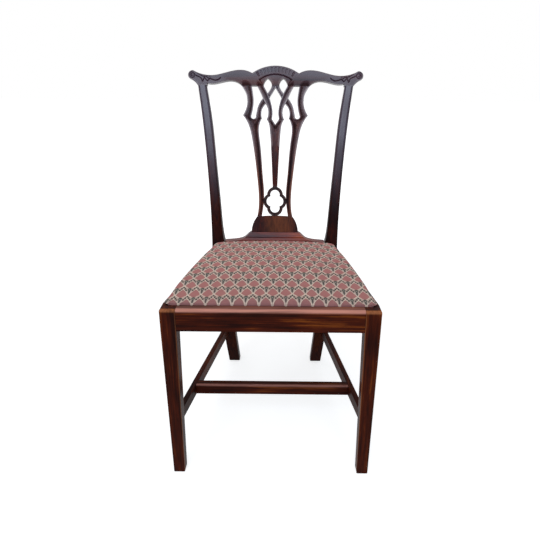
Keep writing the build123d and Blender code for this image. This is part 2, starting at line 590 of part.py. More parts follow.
# Straps of the right half of the splat: pairs of edge points, outer edge first
STALK = [
    (above_shoe(53.0, BLOCK_HEIGHT), above_shoe(39.5, BLOCK_HEIGHT)),
    (above_shoe(48.3, 78.0), above_shoe(34.6, 78.0)),
    (above_shoe(48.2, 112.0), above_shoe(32.6, 112.0)),
    (above_shoe(53.4, 171.0), above_shoe(37.0, 171.0)),
    (above_shoe(60.4, 229.0), above_shoe(41.2, 229.0)),
    (below_crest(67.1, 155.5), below_crest(45.7, 155.5)),
    (below_crest(75.0, 120.0), below_crest(48.3, 118.0)),
    (below_crest(94.6, 83.5), below_crest(39.6, 92.0)),
]
OUTER_BRANCH = [
    (below_crest(94.6, 83.5), below_crest(70.4, 84.0)),
    (below_crest(85.9, 66.5), below_crest(66.2, 66.5)),
    (below_crest(81.7, 43.0), below_crest(63.9, 44.0)),
    (below_crest(84.0, 26.0), below_crest(65.6, 24.0)),
    (below_crest(OUTER_BRANCH_TOP[0], 0), below_crest(OUTER_BRANCH_TOP[1], 0)),
]
INNER_BRANCH = [
    (below_crest(57.0, 85.0), below_crest(39.6, 92.0)),
    (below_crest(54.6, 73.0), below_crest(41.3, 79.0)),
    (below_crest(50.4, 57.0), below_crest(37.5, 62.5)),
    (below_crest(41.2, 41.0), below_crest(29.4, 51.5)),
    (below_crest(*ALMOND_FOOT), below_crest(16.2, 32.0)),
    (below_crest(INNER_STRAP_TOP, 0), below_crest(0, 6.0)),
]
CROSS_STRAP = [
    (below_crest(CROSS_STRAP_TOP[0], 0), below_crest(CROSS_STRAP_TOP[1], 0)),
    (below_crest(43.2, 20.5), below_crest(*ALMOND_FOOT)),
    (below_crest(30.3, 48.0), below_crest(13.2, 48.0)),
    (below_crest(22.2, 65.0), below_crest(9.2, 66.0)),
    (below_crest(21.1, 80.0), below_crest(8.5, 79.0)),
    (below_crest(*FORK_SHOULDER), below_crest(*FORK_SIDE)),
]
STEM = [
    (below_crest(*FORK_SHOULDER), below_crest(0, FORK_FOOT)),
    (below_crest(18.4, 110.0), below_crest(0, 110.0)),
    (below_crest(16.2, 123.5), below_crest(0, 123.5)),
    (below_crest(13.2, 160.0), below_crest(0, 160.0)),
    (above_shoe(10.5, 217.0), above_shoe(0, 217.0)),
    (above_shoe(8.2, 165.0), above_shoe(0, 165.0)),
    (above_shoe(STEM_FOOT_HALF, STEM_FOOT_RISE), above_shoe(0, STEM_FOOT_RISE)),
]


def strip(stations, lip=0.0, closing=()):
    """Face between the two edges of a strap, each edge moved in by `lip`."""
    outer = []
    inner = []
    for (x0, y0), (x1, y1) in stations:
        reach = lip / hypot(x1 - x0, y1 - y0)
        outer.append((x0 + (x1 - x0) * reach, y0 + (y1 - y0) * reach))
        inner.append((x1 + (x0 - x1) * reach, y1 + (y0 - y1) * reach))
    end = Polyline(outer[-1], *closing, inner[-1])
    return make_face([Spline(*outer), end, Spline(*inner), Line(inner[0], outer[0])])


def stem_half(lip=0.0):
    """Right half of the splat's middle stem, from its fork to the quatrefoil."""
    edge = Spline(*[(x - lip, y) for (x, y), _ in STEM])
    foot = below_crest(0, FORK_FOOT + 2 * lip)
    fork = Polyline(edge @ 0, below_crest(FORK_SIDE[0], FORK_SIDE[1] + lip), foot)
    axis = Line(foot, STEM[-1][1])
    return make_face([edge, fork, axis, Line(STEM[-1][1], edge @ 1)])


def stalk_face():
    """Right stalk with the round pocket between its two branches."""
    outer = Spline(*[pair[0] for pair in STALK])
    inner = Spline(*[pair[1] for pair in STALK])
    pocket = ThreePointArc(OUTER_BRANCH[0][1], below_crest(*POCKET_FOOT), INNER_BRANCH[0][0])
    return make_face([outer, Line(STALK[-1][0], OUTER_BRANCH[0][1]), pocket,
                      Line(INNER_BRANCH[0][0], STALK[-1][1]), inner, Line(STALK[0][1], STALK[0][0])])


def quatrefoil(grow):
    """Quatrefoil of four arcs about its centre on the splat, grown outwards by `grow`."""
    x, y = QUATREFOIL_CUSP
    wide = QUATREFOIL_HALF_WIDTH
    high = QUATREFOIL_HALF_HEIGHT
    face = make_face([ThreePointArc((x, y), (0, high), (-x, y)),
                      ThreePointArc((-x, y), (-wide, 0), (-x, -y)),
                      ThreePointArc((-x, -y), (0, -high), (x, -y)),
                      ThreePointArc((x, -y), (wide, 0), (x, y))])
    if grow:
        face = offset(face, grow, kind=Kind.INTERSECTION)
    return Pos(0, SPLAT_FOOT + QUATREFOIL_RISE) * face


def splat_block():
    """Solid base of the splat over the shoe."""
    foot = above_shoe(BLOCK_HALF_WIDTH, 0)
    shoulder = STALK[0][0]
    crown = above_shoe(0, BLOCK_HEIGHT + BLOCK_CROWN)
    left_foot = (-foot[0], foot[1])
    left_shoulder = (-shoulder[0], shoulder[1])
    waist, waist_rise = BLOCK_WAIST
    return make_face([Line(left_foot, foot),
                      ThreePointArc(foot, above_shoe(waist, waist_rise), shoulder),
                      ThreePointArc(shoulder, crown, left_shoulder),
                      ThreePointArc(left_shoulder, above_shoe(-waist, waist_rise), left_foot)])


def make_splat():
    """Pierced splat: interlaced straps with raised edges, a quatrefoil and a solid base."""
    cross = strip(CROSS_STRAP)
    half = stalk_face() + strip(OUTER_BRANCH) + cross + stem_half()
    half += strip(INNER_BRANCH, closing=[below_crest(0, 0)])
    face = half + mirrored(half) + splat_block() + quatrefoil(QUATREFOIL_RING) - quatrefoil(0)
    splat = on_back(face, SPLAT_SET, SPLAT_THICKNESS)
    stalk_hollow = strip(STALK[:-1], STRAP_LIP)
    hollow = stalk_hollow + strip(OUTER_BRANCH, STRAP_LIP) + strip(CROSS_STRAP, STRAP_LIP)
    hollow += strip(INNER_BRANCH[:-1], STRAP_LIP) - cross
    hollow += stem_half(STRAP_LIP) - quatrefoil(QUATREFOIL_RING + STRAP_LIP)
    hollow = hollow + mirrored(hollow)
    splat -= on_back(hollow, SPLAT_SET - SHOULDER, STRAP_HOLLOW + SHOULDER)
    shoe_top = SEAT_HEIGHT + SHOE_RISE
    splat -= block(-FRONT_WIDTH, FRONT_WIDTH, FRONT_Y, -FRONT_Y, shoe_top - SPLAT_THICKNESS, shoe_top)
    splat += on_back(splat_tongues(0), tongue_front(), SPLAT_TONGUE)
    return splat + on_back(foot_tongue(0), tongue_front(), SPLAT_TONGUE)


def foot_tongue(clearance):
    """Front outline of the splat's tongue in the shoe."""
    return Pos(0, SPLAT_FOOT + SHOULDER) * Rectangle(
        2 * (BLOCK_HALF_WIDTH - FOOT_TONGUE_INSET + clearance), SPLAT_FOOT_TONGUE + SHOULDER + clearance,
        align=(Align.CENTER, Align.MAX))


def make_shoe():
    """Moulded shoe on the rear rail: swept ends, an ovolo and a bevel on its front."""
    end = STILE_INNER - CLEARANCE
    sweep = [(SHOE_TOP_HALF + (end - SHOE_TOP_HALF) * along, SHOE_END_RISE + (SHOE_RISE - SHOE_END_RISE) * up)
             for along, up in ((1, 0),) + SHOE_SWEEP + ((0, 1),)]
    half = make_face([Spline(*sweep), Polyline(sweep[-1], (0, SHOE_RISE), (0, 0), (end, 0), sweep[0])])
    outline = Plane(origin=(0, STILE_Y, SEAT_HEIGHT), x_dir=(1, 0, 0), z_dir=(0, -1, 0)).location * (
        half + mirrored(half))
    body = extrude(outline, amount=SHOE_DEPTH, dir=(0, 1, 0))
    lean = SHOE_RISE * tan(RAKE)
    ovolo_foot = (0, SHOE_OVOLO_FOOT)
    ovolo_top = (SHOE_OVOLO_SET, SHOE_BEVEL_RISE - SHOE_QUIRK)
    profile = make_face([
        ThreePointArc(ovolo_foot, SHOE_OVOLO_MIDDLE, ovolo_top),
        Polyline(ovolo_top, (SHOE_BEVEL_SET, SHOE_BEVEL_RISE), (lean, SHOE_RISE), (SHOE_DEPTH, SHOE_RISE),
                 (SHOE_DEPTH, 0), (0, 0), ovolo_foot),
    ])
    moulding = Plane(origin=(0, STILE_Y, SEAT_HEIGHT), x_dir=(0, 1, 0), z_dir=(1, 0, 0)).location * profile
    body = body & extrude(moulding, amount=STILE_INNER, dir=(1, 0, 0), both=True)
    return body - on_back(foot_tongue(CLEARANCE), tongue_front() - CLEARANCE, SPLAT_TONGUE + 2 * CLEARANCE)


class Corner:
    """One inside corner of the seat rails, with the directions along the two rails."""

    def __init__(self, point, along, side, bottom):
        self.point = Vector(*point, bottom)
        self.along = along
        self.side = side
        self.bottom = bottom

    def at(self, reach_along, reach_side, rise=0.0):
        """Point at the given distances along the two rails and above the block's bottom."""
        return self.point + self.along * reach_along + self.side * reach_side + Vector(0, 0, rise)

    def solid(self):
        """Triangular block before its screw holes."""
        corners = [self.at(0, 0), self.at(BLOCK_REACH, 0), self.at(0, BLOCK_REACH)]
        return prism([(p.X, p.Y) for p in corners], self.bottom, self.bottom + CORNER_BLOCK_HEIGHT)

    def screws(self):
        """Places of the two screws: where each axis meets its rail, and the way it is driven."""
        share = SCREW_SHARE * BLOCK_REACH
        into_end = Vector(0, -1, 0) if self.side.Y > 0 else Vector(0, 1, 0)
        normal = Vector(self.side.Y, -self.side.X, 0)
        into_side = normal if normal.dot(self.along) < 0 else normal * -1
        return [(self.at(share, 0, SCREW_LEVELS[0]), into_end),
                (self.at(0, share, SCREW_LEVELS[1]), into_side)]


def make_corners():
    """The two inside corners on the right: at the front leg and at the rear rail."""
    down = Vector(SPLAY, -1, 0).normalized()
    bottom = LEDGE_Z - CORNER_BLOCK_TOP - CORNER_BLOCK_HEIGHT
    front = (side_x(LEG_BACK_Y, SIDE_RAIL_THICKNESS), LEG_BACK_Y)
    rear = (side_x(REAR_RAIL_FRONT, SIDE_RAIL_THICKNESS), REAR_RAIL_FRONT)
    return {"front": Corner(front, Vector(-1, 0, 0), down * -1, bottom),
            "rear": Corner(rear, Vector(-1, 0, 0), down, bottom)}


def rod(start, direction, radius, length):
    """Round bar from a point along a direction."""
    return Plane(origin=start, z_dir=direction).location * Cylinder(
        radius, length, align=(Align.CENTER, Align.CENTER, Align.MIN))


def screw(meet, way, clearance=0.0):
    """Countersunk wood screw through a block; grown and lengthened it is the hole."""
    seat = meet - way * SCREW_SEAT
    shank = rod(seat, way, SCREW_SHANK / 2 + clearance, SCREW_SEAT + SCREW_GRIP + clearance)
    head_length = BLOCK_REACH if clearance else SCREW_HEAD_HEIGHT
    return shank + rod(seat - way * head_length, way, SCREW_HEAD / 2 + clearance, head_length)


def seat_edge(y, inset):
    """Half-width of the seat at y, moved in by `inset`."""
    return side_x(y, SIDE_LIP + SEAT_GAP + inset)


def seat_plan(inset):
    """Corners of the seat in plan, moved in from its edges."""
    near = SEAT_FRONT_Y + inset
    far = SEAT_BACK_Y - inset
    right = [(seat_edge(near, inset), near), (seat_edge(far, inset), far)]
    return right + [(-x, y) for x, y in reversed(right)]


def seat_face(inset):
    """Plan outline of the seat with rounded corners, moved in by `inset`."""
    face = make_face(Polyline(*seat_plan(inset), close=True))
    return fillet(face.vertices(), max(SEAT_CORNER - inset, SEAT_CORNER_LEAST))


def seat_layer(inset, bottom, height):
    """Flat layer of the seat, moved in by `inset` on every side."""
    return extrude(Pos(0, 0, bottom) * seat_face(inset), amount=height, dir=(0, 0, 1))


def seat_block(inset, bottom):
    """Crowned solid of the seat, drawn in by `inset` on every side but the bottom."""
    body = seat_layer(inset, bottom, 2 * SEAT_CROWN_RISE + RABBET_DEPTH)
    middle = (SEAT_FRONT_Y + SEAT_BACK_Y) / 2
    centre = (0, middle, SEAT_HEIGHT + SEAT_CROWN_RISE - SEAT_CROWN_RADIUS)
    body = body & Pos(*centre) * Rot(0, 90, 0) * Sphere(SEAT_CROWN_RADIUS - inset)
    rim = body.edges().filter_by(lambda edge: edge.bounding_box().min.Z > bottom + SHOULDER)
    return fillet(rim, SEAT_EDGE_ROUND - inset)


def make_seat_frame():
    """The seat's own frame: front and back members, and side members tenoned into them."""
    whole = seat_layer(FRAME_SET, FRAME_BOTTOM, FRAME_THICKNESS)
    near = SEAT_FRONT_Y + FRAME_SET + FRAME_WIDTH
    far = SEAT_BACK_Y - FRAME_SET - FRAME_WIDTH
    wide = 2 * FRONT_WIDTH
    front = whole & block(-wide, wide, near - wide, near, FRAME_BOTTOM, FRAME_TOP)
    back = whole & block(-wide, wide, far, far + wide, FRAME_BOTTOM, FRAME_TOP)
    outer_set = SIDE_LIP + SEAT_GAP + FRAME_SET
    side = side_strip(near, far, outer_set, outer_set + FRAME_WIDTH, FRAME_BOTTOM, FRAME_TOP)
    side += frame_tenon(near, far, outer_set, 0)
    holes = frame_tenon(near, far, outer_set, CLEARANCE)
    holes += mirrored(holes)
    return {"seat_frame_front": front - holes, "seat_frame_back": back - holes,
            "seat_frame_right": side, "seat_frame_left": mirrored(side)}


def frame_tenon(near, far, outer_set, clearance):
    """Tenons at both ends of the right member of the seat's frame."""
    width, thickness, length = FRAME_TENON
    margin = outer_set + (FRAME_WIDTH - width) / 2 - clearance
    middle = (FRAME_BOTTOM + FRAME_TOP) / 2
    half = thickness / 2 + clearance
    reach = length + clearance
    span = margin + width + 2 * clearance
    return (side_strip(near - reach, near + length, margin, span, middle - half, middle + half)
            + side_strip(far - length, far + reach, margin, span, middle - half, middle + half))


def webbing_places():
    """Middle lines of the webbing: x of the lengthwise straps and y of the crosswise ones."""
    near = SEAT_FRONT_Y + FRAME_SET + FRAME_WIDTH
    far = SEAT_BACK_Y - FRAME_SET - FRAME_WIDTH
    half = seat_edge(far, FRAME_SET + FRAME_WIDTH)
    steps = [(index + 1) / (WEBBING_COUNT + 1) for index in range(WEBBING_COUNT)]
    return [half * (2 * step - 1) for step in steps], [near + (far - near) * step for step in steps]


def webbing_profile(start, crossings, finish, first_over):
    """Side outline of one strap that passes over and under the straps it crosses."""
    line = [(start, 0.0), (start + WEBBING_LANDING, 0.0)]
    over = first_over
    for place in crossings:
        rise = WEAVE_RISE if over else 0.0
        line.append((place - WEBBING_FLAT / 2, rise))
        line.append((place + WEBBING_FLAT / 2, rise))
        over = not over
    line += [(finish - WEBBING_LANDING, 0.0), (finish, 0.0)]
    upper = [(place, rise + WEBBING_THICKNESS) for place, rise in reversed(line)]
    return make_face(Polyline(*line, *upper, close=True))


def make_webbing():
    """Interlaced straps over the seat's frame, lengthwise and crosswise."""
    columns, rows = webbing_places()
    near = SEAT_FRONT_Y + FRAME_SET + FRAME_WIDTH - WEBBING_LANDING
    far = SEAT_BACK_Y - FRAME_SET - FRAME_WIDTH + WEBBING_LANDING
    straps = {}
    for index, (x, name) in enumerate(zip(columns, ("left", "middle", "right"))):
        face = webbing_profile(near, rows, far, index % 2 == 0)
        plane = Plane(origin=(x, 0, FRAME_TOP), x_dir=(0, 1, 0), z_dir=(1, 0, 0))
        straps["webbing_lengthwise_" + name] = extrude(
            plane.location * face, amount=WEBBING_WIDTH / 2, dir=(1, 0, 0), both=True)
    for index, (y, name) in enumerate(zip(rows, ("front", "middle", "back"))):
        reach = seat_edge(y + WEBBING_WIDTH / 2, FRAME_SET + FRAME_WIDTH - WEBBING_LANDING)
        face = webbing_profile(-reach, columns, reach, index % 2 == 1)
        plane = Plane(origin=(0, y, FRAME_TOP), x_dir=(1, 0, 0), z_dir=(0, -1, 0))
        straps["webbing_crosswise_" + name] = extrude(
            plane.location * face, amount=WEBBING_WIDTH / 2, dir=(0, 1, 0), both=True)
    return straps


def webbing_tack_places():
    """Points on top of the straps' ends where the tacks are driven."""
    columns, rows = webbing_places()
    spread = WEBBING_WIDTH / 4
    near = SEAT_FRONT_Y + FRAME_SET + FRAME_WIDTH - WEBBING_LANDING / 2
    far = SEAT_BACK_Y - FRAME_SET - FRAME_WIDTH + WEBBING_LANDING / 2
    points = [(x + shift, y) for x in columns for y in (near, far) for shift in (-spread, spread)]
    for y in rows:
        reach = seat_edge(y + WEBBING_WIDTH / 2, FRAME_SET + FRAME_WIDTH - WEBBING_LANDING / 2)
        points += [(side * reach, y + shift) for side in (-1, 1) for shift in (-spread, spread)]
    return [Vector(x, y, FRAME_TOP + WEBBING_THICKNESS) for x, y in points]


def cover_tack_places():
    """Points under the cover's turned-in edge where its tacks are driven."""
    shares = [(index + 0.5) / COVER_TACKS_A_SIDE for index in range(COVER_TACKS_A_SIDE)]
    near = SEAT_FRONT_Y + COVER_TACK_SET
    far = SEAT_BACK_Y - COVER_TACK_SET
    points = []
    for share in shares:
        y = near + (far - near) * share
        points += [(side * seat_edge(y, COVER_TACK_SET), y) for side in (-1, 1)]
        for end in (near, far):
            half = seat_edge(end, 2 * COVER_TACK_SET)
            points.append((half * (2 * share - 1), end))
    return [Vector(x, y, SEAT_BOTTOM) for x, y in points]


def tack(point, way, clearance=0.0):
    """Cut tack with a flat head on the near side of `point`; grown, it is the hole."""
    shank = rod(point, way, TACK_SHANK / 2 + clearance, TACK_LENGTH + clearance)
    if clearance:
        return shank
    return shank + rod(point - way * TACK_HEAD_HEIGHT, way, TACK_HEAD / 2, TACK_HEAD_HEIGHT)


def make_cover():
    """Woven cover over the stuffing and round the frame, turned in under it."""
    cover = seat_block(0, SEAT_BOTTOM) - seat_block(COVER_THICKNESS, SEAT_BOTTOM + COVER_THICKNESS)
    return cover - prism(seat_plan(COVER_TURN_UNDER), SEAT_BOTTOM - SHOULDER, FRAME_BOTTOM)


def make_pad():
    """Stuffing between the hessian and the cover."""
    base = HESSIAN_BOTTOM + HESSIAN_THICKNESS
    whole = seat_block(COVER_THICKNESS + UPHOLSTERY_FIT, SEAT_BOTTOM)
    return split(whole, bisect_by=Plane.XY.offset(base), keep=Keep.TOP)


def build_chair():
    """Every node of the chair by name."""
    front_leg = make_front_leg()
    rear_leg = make_rear_leg()
    side_stretcher = make_side_stretcher(front_leg, rear_leg) - cross_tenons(CLEARANCE)

    stretcher_mortises = side_stretcher_tenons(CLEARANCE)
    front_leg -= front_tenon(CLEARANCE) + side_tenon_front(CLEARANCE) + stretcher_mortises
    front_leg -= side_strip(FRONT_Y + FRONT_LIP, LEG_BACK_Y + SHOULDER, SIDE_LIP, 2 * FRONT_LEG,
                            LEDGE_Z, SEAT_HEIGHT + SHOULDER)
    front_leg -= Pos(0, FRONT_Y, SEAT_HEIGHT) * edge_rounder(FRONT_WIDTH, EDGE_ROUND)
    outer_edge = Pos(HALF_FRONT, FRONT_Y, SEAT_HEIGHT) * Rot(0, 0, 90)
    front_leg -= outer_edge * edge_rounder(FRONT_WIDTH, SIDE_EDGE_ROUND)
    rear_leg -= side_tenon_rear(CLEARANCE) + rear_tenon(CLEARANCE) + stretcher_mortises

    front_rail = make_front_rail()
    side_rail = make_side_rail()
    rear_rail = make_rear_rail()
    corner_blocks = {}
    screws = []
    for name, corner in make_corners().items():
        solid = corner.solid()
        for meet, way in corner.screws():
            hole = screw(meet, way, CLEARANCE)
            solid -= hole
            front_rail -= hole + mirrored(hole)
            side_rail -= hole
            rear_rail -= hole + mirrored(hole)
            screws += [screw(meet, way), mirrored(screw(meet, way))]
        corner_blocks["corner_block_" + name + "_right"] = solid
        corner_blocks["corner_block_" + name + "_left"] = mirrored(solid)

    nodes = {
        "front_leg_right": front_leg, "front_leg_left": mirrored(front_leg),
        "rear_leg_right": rear_leg, "rear_leg_left": mirrored(rear_leg),
        "front_rail": front_rail, "rear_rail": rear_rail,
        "side_rail_right": side_rail, "side_rail_left": mirrored(side_rail),
        "crest_rail": make_crest_rail(), "splat": make_splat(), "splat_shoe": make_shoe(),
        "side_stretcher_right": side_stretcher, "side_stretcher_left": mirrored(side_stretcher),
        "cross_stretcher": make_cross_stretcher(),
        "corner_block_screws": Compound(children=[piece.solid() for piece in screws]),
    }
    nodes.update(corner_blocks)
    nodes.update(build_seat())
    return nodes


def build_seat():
    """Nodes of the lift-out seat."""
    frame = make_seat_frame()
    webbing = make_webbing()
    cover = make_cover()
    webbing_tacks = []
    for point in webbing_tack_places():
        webbing_tacks.append(tack(point, Vector(0, 0, -1)).solid())
        hole = tack(point, Vector(0, 0, -1), CLEARANCE)
        cut_where_it_passes(frame, hole)
        cut_where_it_passes(webbing, hole)
    cover_tacks = []
    for point in cover_tack_places():
        cover_tacks.append(tack(point, Vector(0, 0, 1)).solid())
        hole = tack(point, Vector(0, 0, 1), CLEARANCE)
        cut_where_it_passes(frame, hole)
        cover -= hole
    return {**frame, **webbing,
            "webbing_tacks": Compound(children=webbing_tacks),
            "hessian": seat_layer(HESSIAN_SET, HESSIAN_BOTTOM, HESSIAN_THICKNESS),
            "seat_pad": make_pad(), "seat_cover": cover,
            "cover_tacks": Compound(children=cover_tacks)}


def cut_where_it_passes(pieces, hole):
    """Cut a hole in each piece whose box it enters."""
    box = hole.bounding_box()
    for name, piece in pieces.items():
        if piece.bounding_box().overlaps(box):
            pieces[name] = piece - hole


os.makedirs("parts", exist_ok=True)
for node, piece in build_chair().items():
    export_step(piece, os.path.join("parts", node + ".step"))
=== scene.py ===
"""The looks of a mahogany side chair: carved back, lift-out woven seat, plain legs and rails."""

import logging
import math
from dataclasses import dataclass, field, replace
from enum import Enum
from typing import Any, Callable, Sequence

import bpy
import numpy as np
from bpy.types import Material, Mesh, Node, NodeSocket, NodeTree, Object
from mathutils import Matrix, Vector
from mathutils.geometry import delaunay_2d_cdt
from mathutils.kdtree import KDTree


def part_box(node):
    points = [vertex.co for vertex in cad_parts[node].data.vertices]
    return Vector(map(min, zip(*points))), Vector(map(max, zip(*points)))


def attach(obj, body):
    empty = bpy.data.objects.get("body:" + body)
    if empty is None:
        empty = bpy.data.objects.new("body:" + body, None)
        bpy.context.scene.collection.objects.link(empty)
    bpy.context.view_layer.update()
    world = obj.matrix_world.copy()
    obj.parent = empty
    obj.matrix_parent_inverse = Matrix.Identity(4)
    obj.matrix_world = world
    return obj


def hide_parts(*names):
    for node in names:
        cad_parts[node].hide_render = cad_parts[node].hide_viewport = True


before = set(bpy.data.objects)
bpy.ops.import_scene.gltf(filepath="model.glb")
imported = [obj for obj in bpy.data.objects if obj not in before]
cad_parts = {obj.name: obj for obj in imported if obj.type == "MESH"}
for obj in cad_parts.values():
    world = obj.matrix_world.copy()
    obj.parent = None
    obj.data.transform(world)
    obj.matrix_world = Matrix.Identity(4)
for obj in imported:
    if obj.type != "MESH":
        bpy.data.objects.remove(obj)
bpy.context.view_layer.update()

LOG = logging.getLogger("chair")
MM = 0.001
CHAIR = "chair_frame"
SEAT = "drop_in_seat"
# Mesh values of carved pieces: carving depth with painted shade, and lips with a painted highlight
CARVING_LABELS = ("carve_and_shade", "lip")

# From the front of the legs to the plane of the back, in mm
BACK_SETBACK = 408.0

# Points of an outline, in mm, and corners of a solid, in metres, that are no further apart are one
SAME_POINT = 1e-4
SAME_CORNER = 0.02 * MM

Array = np.ndarray
Point = tuple[float, float]
Points = tuple[Point, ...]
Place = tuple[float, float, float]
Colour = tuple[float, float, float]
Rows = tuple[tuple[float, float, float, float], ...]
Loop = list[Point]
StationList = list[tuple[Point, Point]]


# Node trees written as expressions


def operator(kind: str, swapped: bool = False) -> Callable[["Signal", "Signal | float"], "Signal"]:
    """Makes an operator that adds a Math node.

    Args:
        kind: the node's operation.
        swapped: True for the reflected form, with the other value first.

    Returns:
        The operator.
    """
    def apply(self: "Signal", other: "Signal | float") -> "Signal":
        """Adds the node."""
        return self.sheet.maths(kind, *((other, self) if swapped else (self, other)))

    return apply


class Signal:
    """One value in a node tree. Arithmetic on it adds Math nodes."""

    __add__, __radd__ = operator("ADD"), operator("ADD", True)
    __sub__, __rsub__ = operator("SUBTRACT"), operator("SUBTRACT", True)
    __mul__, __rmul__ = operator("MULTIPLY"), operator("MULTIPLY", True)
    __truediv__, __rtruediv__ = operator("DIVIDE"), operator("DIVIDE", True)
    __pow__ = operator("POWER")
    __gt__ = operator("GREATER_THAN")

    def __init__(self, sheet: "NodeSheet", socket: NodeSocket) -> None:
        """Wraps a socket of a tree."""
        self.sheet = sheet
        self.socket = socket

    def __abs__(self) -> "Signal":
        """Value without its sign."""
        return self.sheet.maths("ABSOLUTE", self)


class NodeSheet:
    """A node tree with one method that adds any node."""

    def __init__(self, tree: NodeTree) -> None:
        """Starts on an empty tree."""
        self.tree = tree
        self.tree.nodes.clear()

    def node(self, kind: str, settings: dict[str, Any] | None = None,
             sockets: dict[str | int, Any] | None = None, output: str | int = 0) -> Signal:
        """Adds a node.

        Args:
            kind: the node's type.
            settings: its own settings, set first; "stops" fills a colour ramp.
            sockets: values or signals for its inputs, by name or place.
            output: the output that is wanted.

        Returns:
            That output.
        """
        node = self.tree.nodes.new(kind)
        for key, value in (settings or {}).items():
            if key == "stops":
                self._set_stops(node, value)
            else:
                setattr(node, key, value)
        for key, value in (sockets or {}).items():
            if isinstance(value, Signal):
                self.tree.links.new(value.socket, node.inputs[key])
            else:
                node.inputs[key].default_value = value
        return Signal(self, node.outputs[output])

    def _set_stops(self, node: Node, stops: Sequence[tuple[float, Colour]]) -> None:
        """Fills a colour ramp.

        Args:
            node: the ramp.
            stops: place and colour of each stop.
        """
        elements = node.color_ramp.elements
        while len(elements) < len(stops):
            elements.new(1.0)
        for element, (place, colour) in zip(elements, stops):
            element.position = place
            element.color = (*colour, 1.0)

    def maths(self, operation: str, *values: Signal | float) -> Signal:
        """A Math node on one to three values."""
        return self.node("ShaderNodeMath", {"operation": operation}, dict(enumerate(values)))

    def vector(self, operation: str, *values: Any, output: str | int = 0) -> Signal:
        """A Vector Math node."""
        return self.node("ShaderNodeVectorMath", {"operation": operation}, dict(enumerate(values)), output)

    def split(self, vector: Signal) -> tuple[Signal, Signal, Signal]:
        """The three parts of a vector."""
        first = self.node("ShaderNodeSeparateXYZ", None, {0: vector})
        return tuple(Signal(self, socket) for socket in first.socket.node.outputs)

    def step(self, value: Signal, low: float, high: float) -> Signal:
        """0 below low, 1 above high, smooth between; high may be the lesser."""
        return self.node("ShaderNodeMapRange", {"interpolation_type": "SMOOTHSTEP", "clamp": True},
                         {"Value": value, "From Min": low, "From Max": high})


class FinishSheet(NodeSheet):
    """A material's node tree."""

    def __init__(self, name: str) -> None:
        """Makes the material.

        Args:
            name: the material's name.
        """
        self.material = bpy.data.materials.new(name)
        self.material.use_nodes = True
        super().__init__(self.material.node_tree)

    def place(self) -> Signal:
        """Object coordinates."""
        return self.node("ShaderNodeTexCoord", output="Object")

    def noise(self, vector: Signal, scale: float, detail: float = 2.0, rough: float = 0.5) -> Signal:
        """Soft noise between 0 and 1."""
        return self.node("ShaderNodeTexNoise", None,
                         {"Vector": vector, "Scale": scale, "Detail": detail, "Roughness": rough})

    def attribute(self, name: str) -> Signal:
        """A value that is stored on the mesh."""
        return self.node("ShaderNodeAttribute", {"attribute_name": name}, None, "Fac")

    def mix(self, share: Signal | float, first: Signal | Colour, second: Signal | Colour) -> Signal:
        """Two colours mixed by a share."""
        ready = [(*colour, 1.0) if isinstance(colour, tuple) else colour for colour in (first, second)]
        return self.node("ShaderNodeMix", {"data_type": "RGBA"}, {0: share, 6: ready[0], 7: ready[1]}, 2)

    def weave(self, u: Signal, v: Signal, thread: float) -> Signal:
        """Height of a plain weave.

        Args:
            u: place across the cloth.
            v: place along it.
            thread: width of a thread.

        Returns:
            The height as a share of its greatest.
        """
        warp, weft = (self.maths("SINE", place * (math.pi / thread)) for place in (u, v))
        over = warp * weft > 0.0
        return abs(warp) * over + abs(weft) * (1.0 - over)

    def bump(self, height: Signal, strength: float) -> Signal:
        """A normal that follows a height in metres."""
        return self.node("ShaderNodeBump", None, {"Height": height, "Strength": strength, "Distance": 1.0})

    def surface(self, sockets: dict[str, Any]) -> Material:
        """Ends the material in a Principled shader."""
        self.finish(self.node("ShaderNodeBsdfPrincipled", None, sockets))
        return self.material

    def finish(self, shader: Signal) -> None:
        """Joins a shader to the material's output."""
        end = self.tree.nodes.new("ShaderNodeOutputMaterial")
        self.tree.links.new(shader.socket, end.inputs["Surface"])


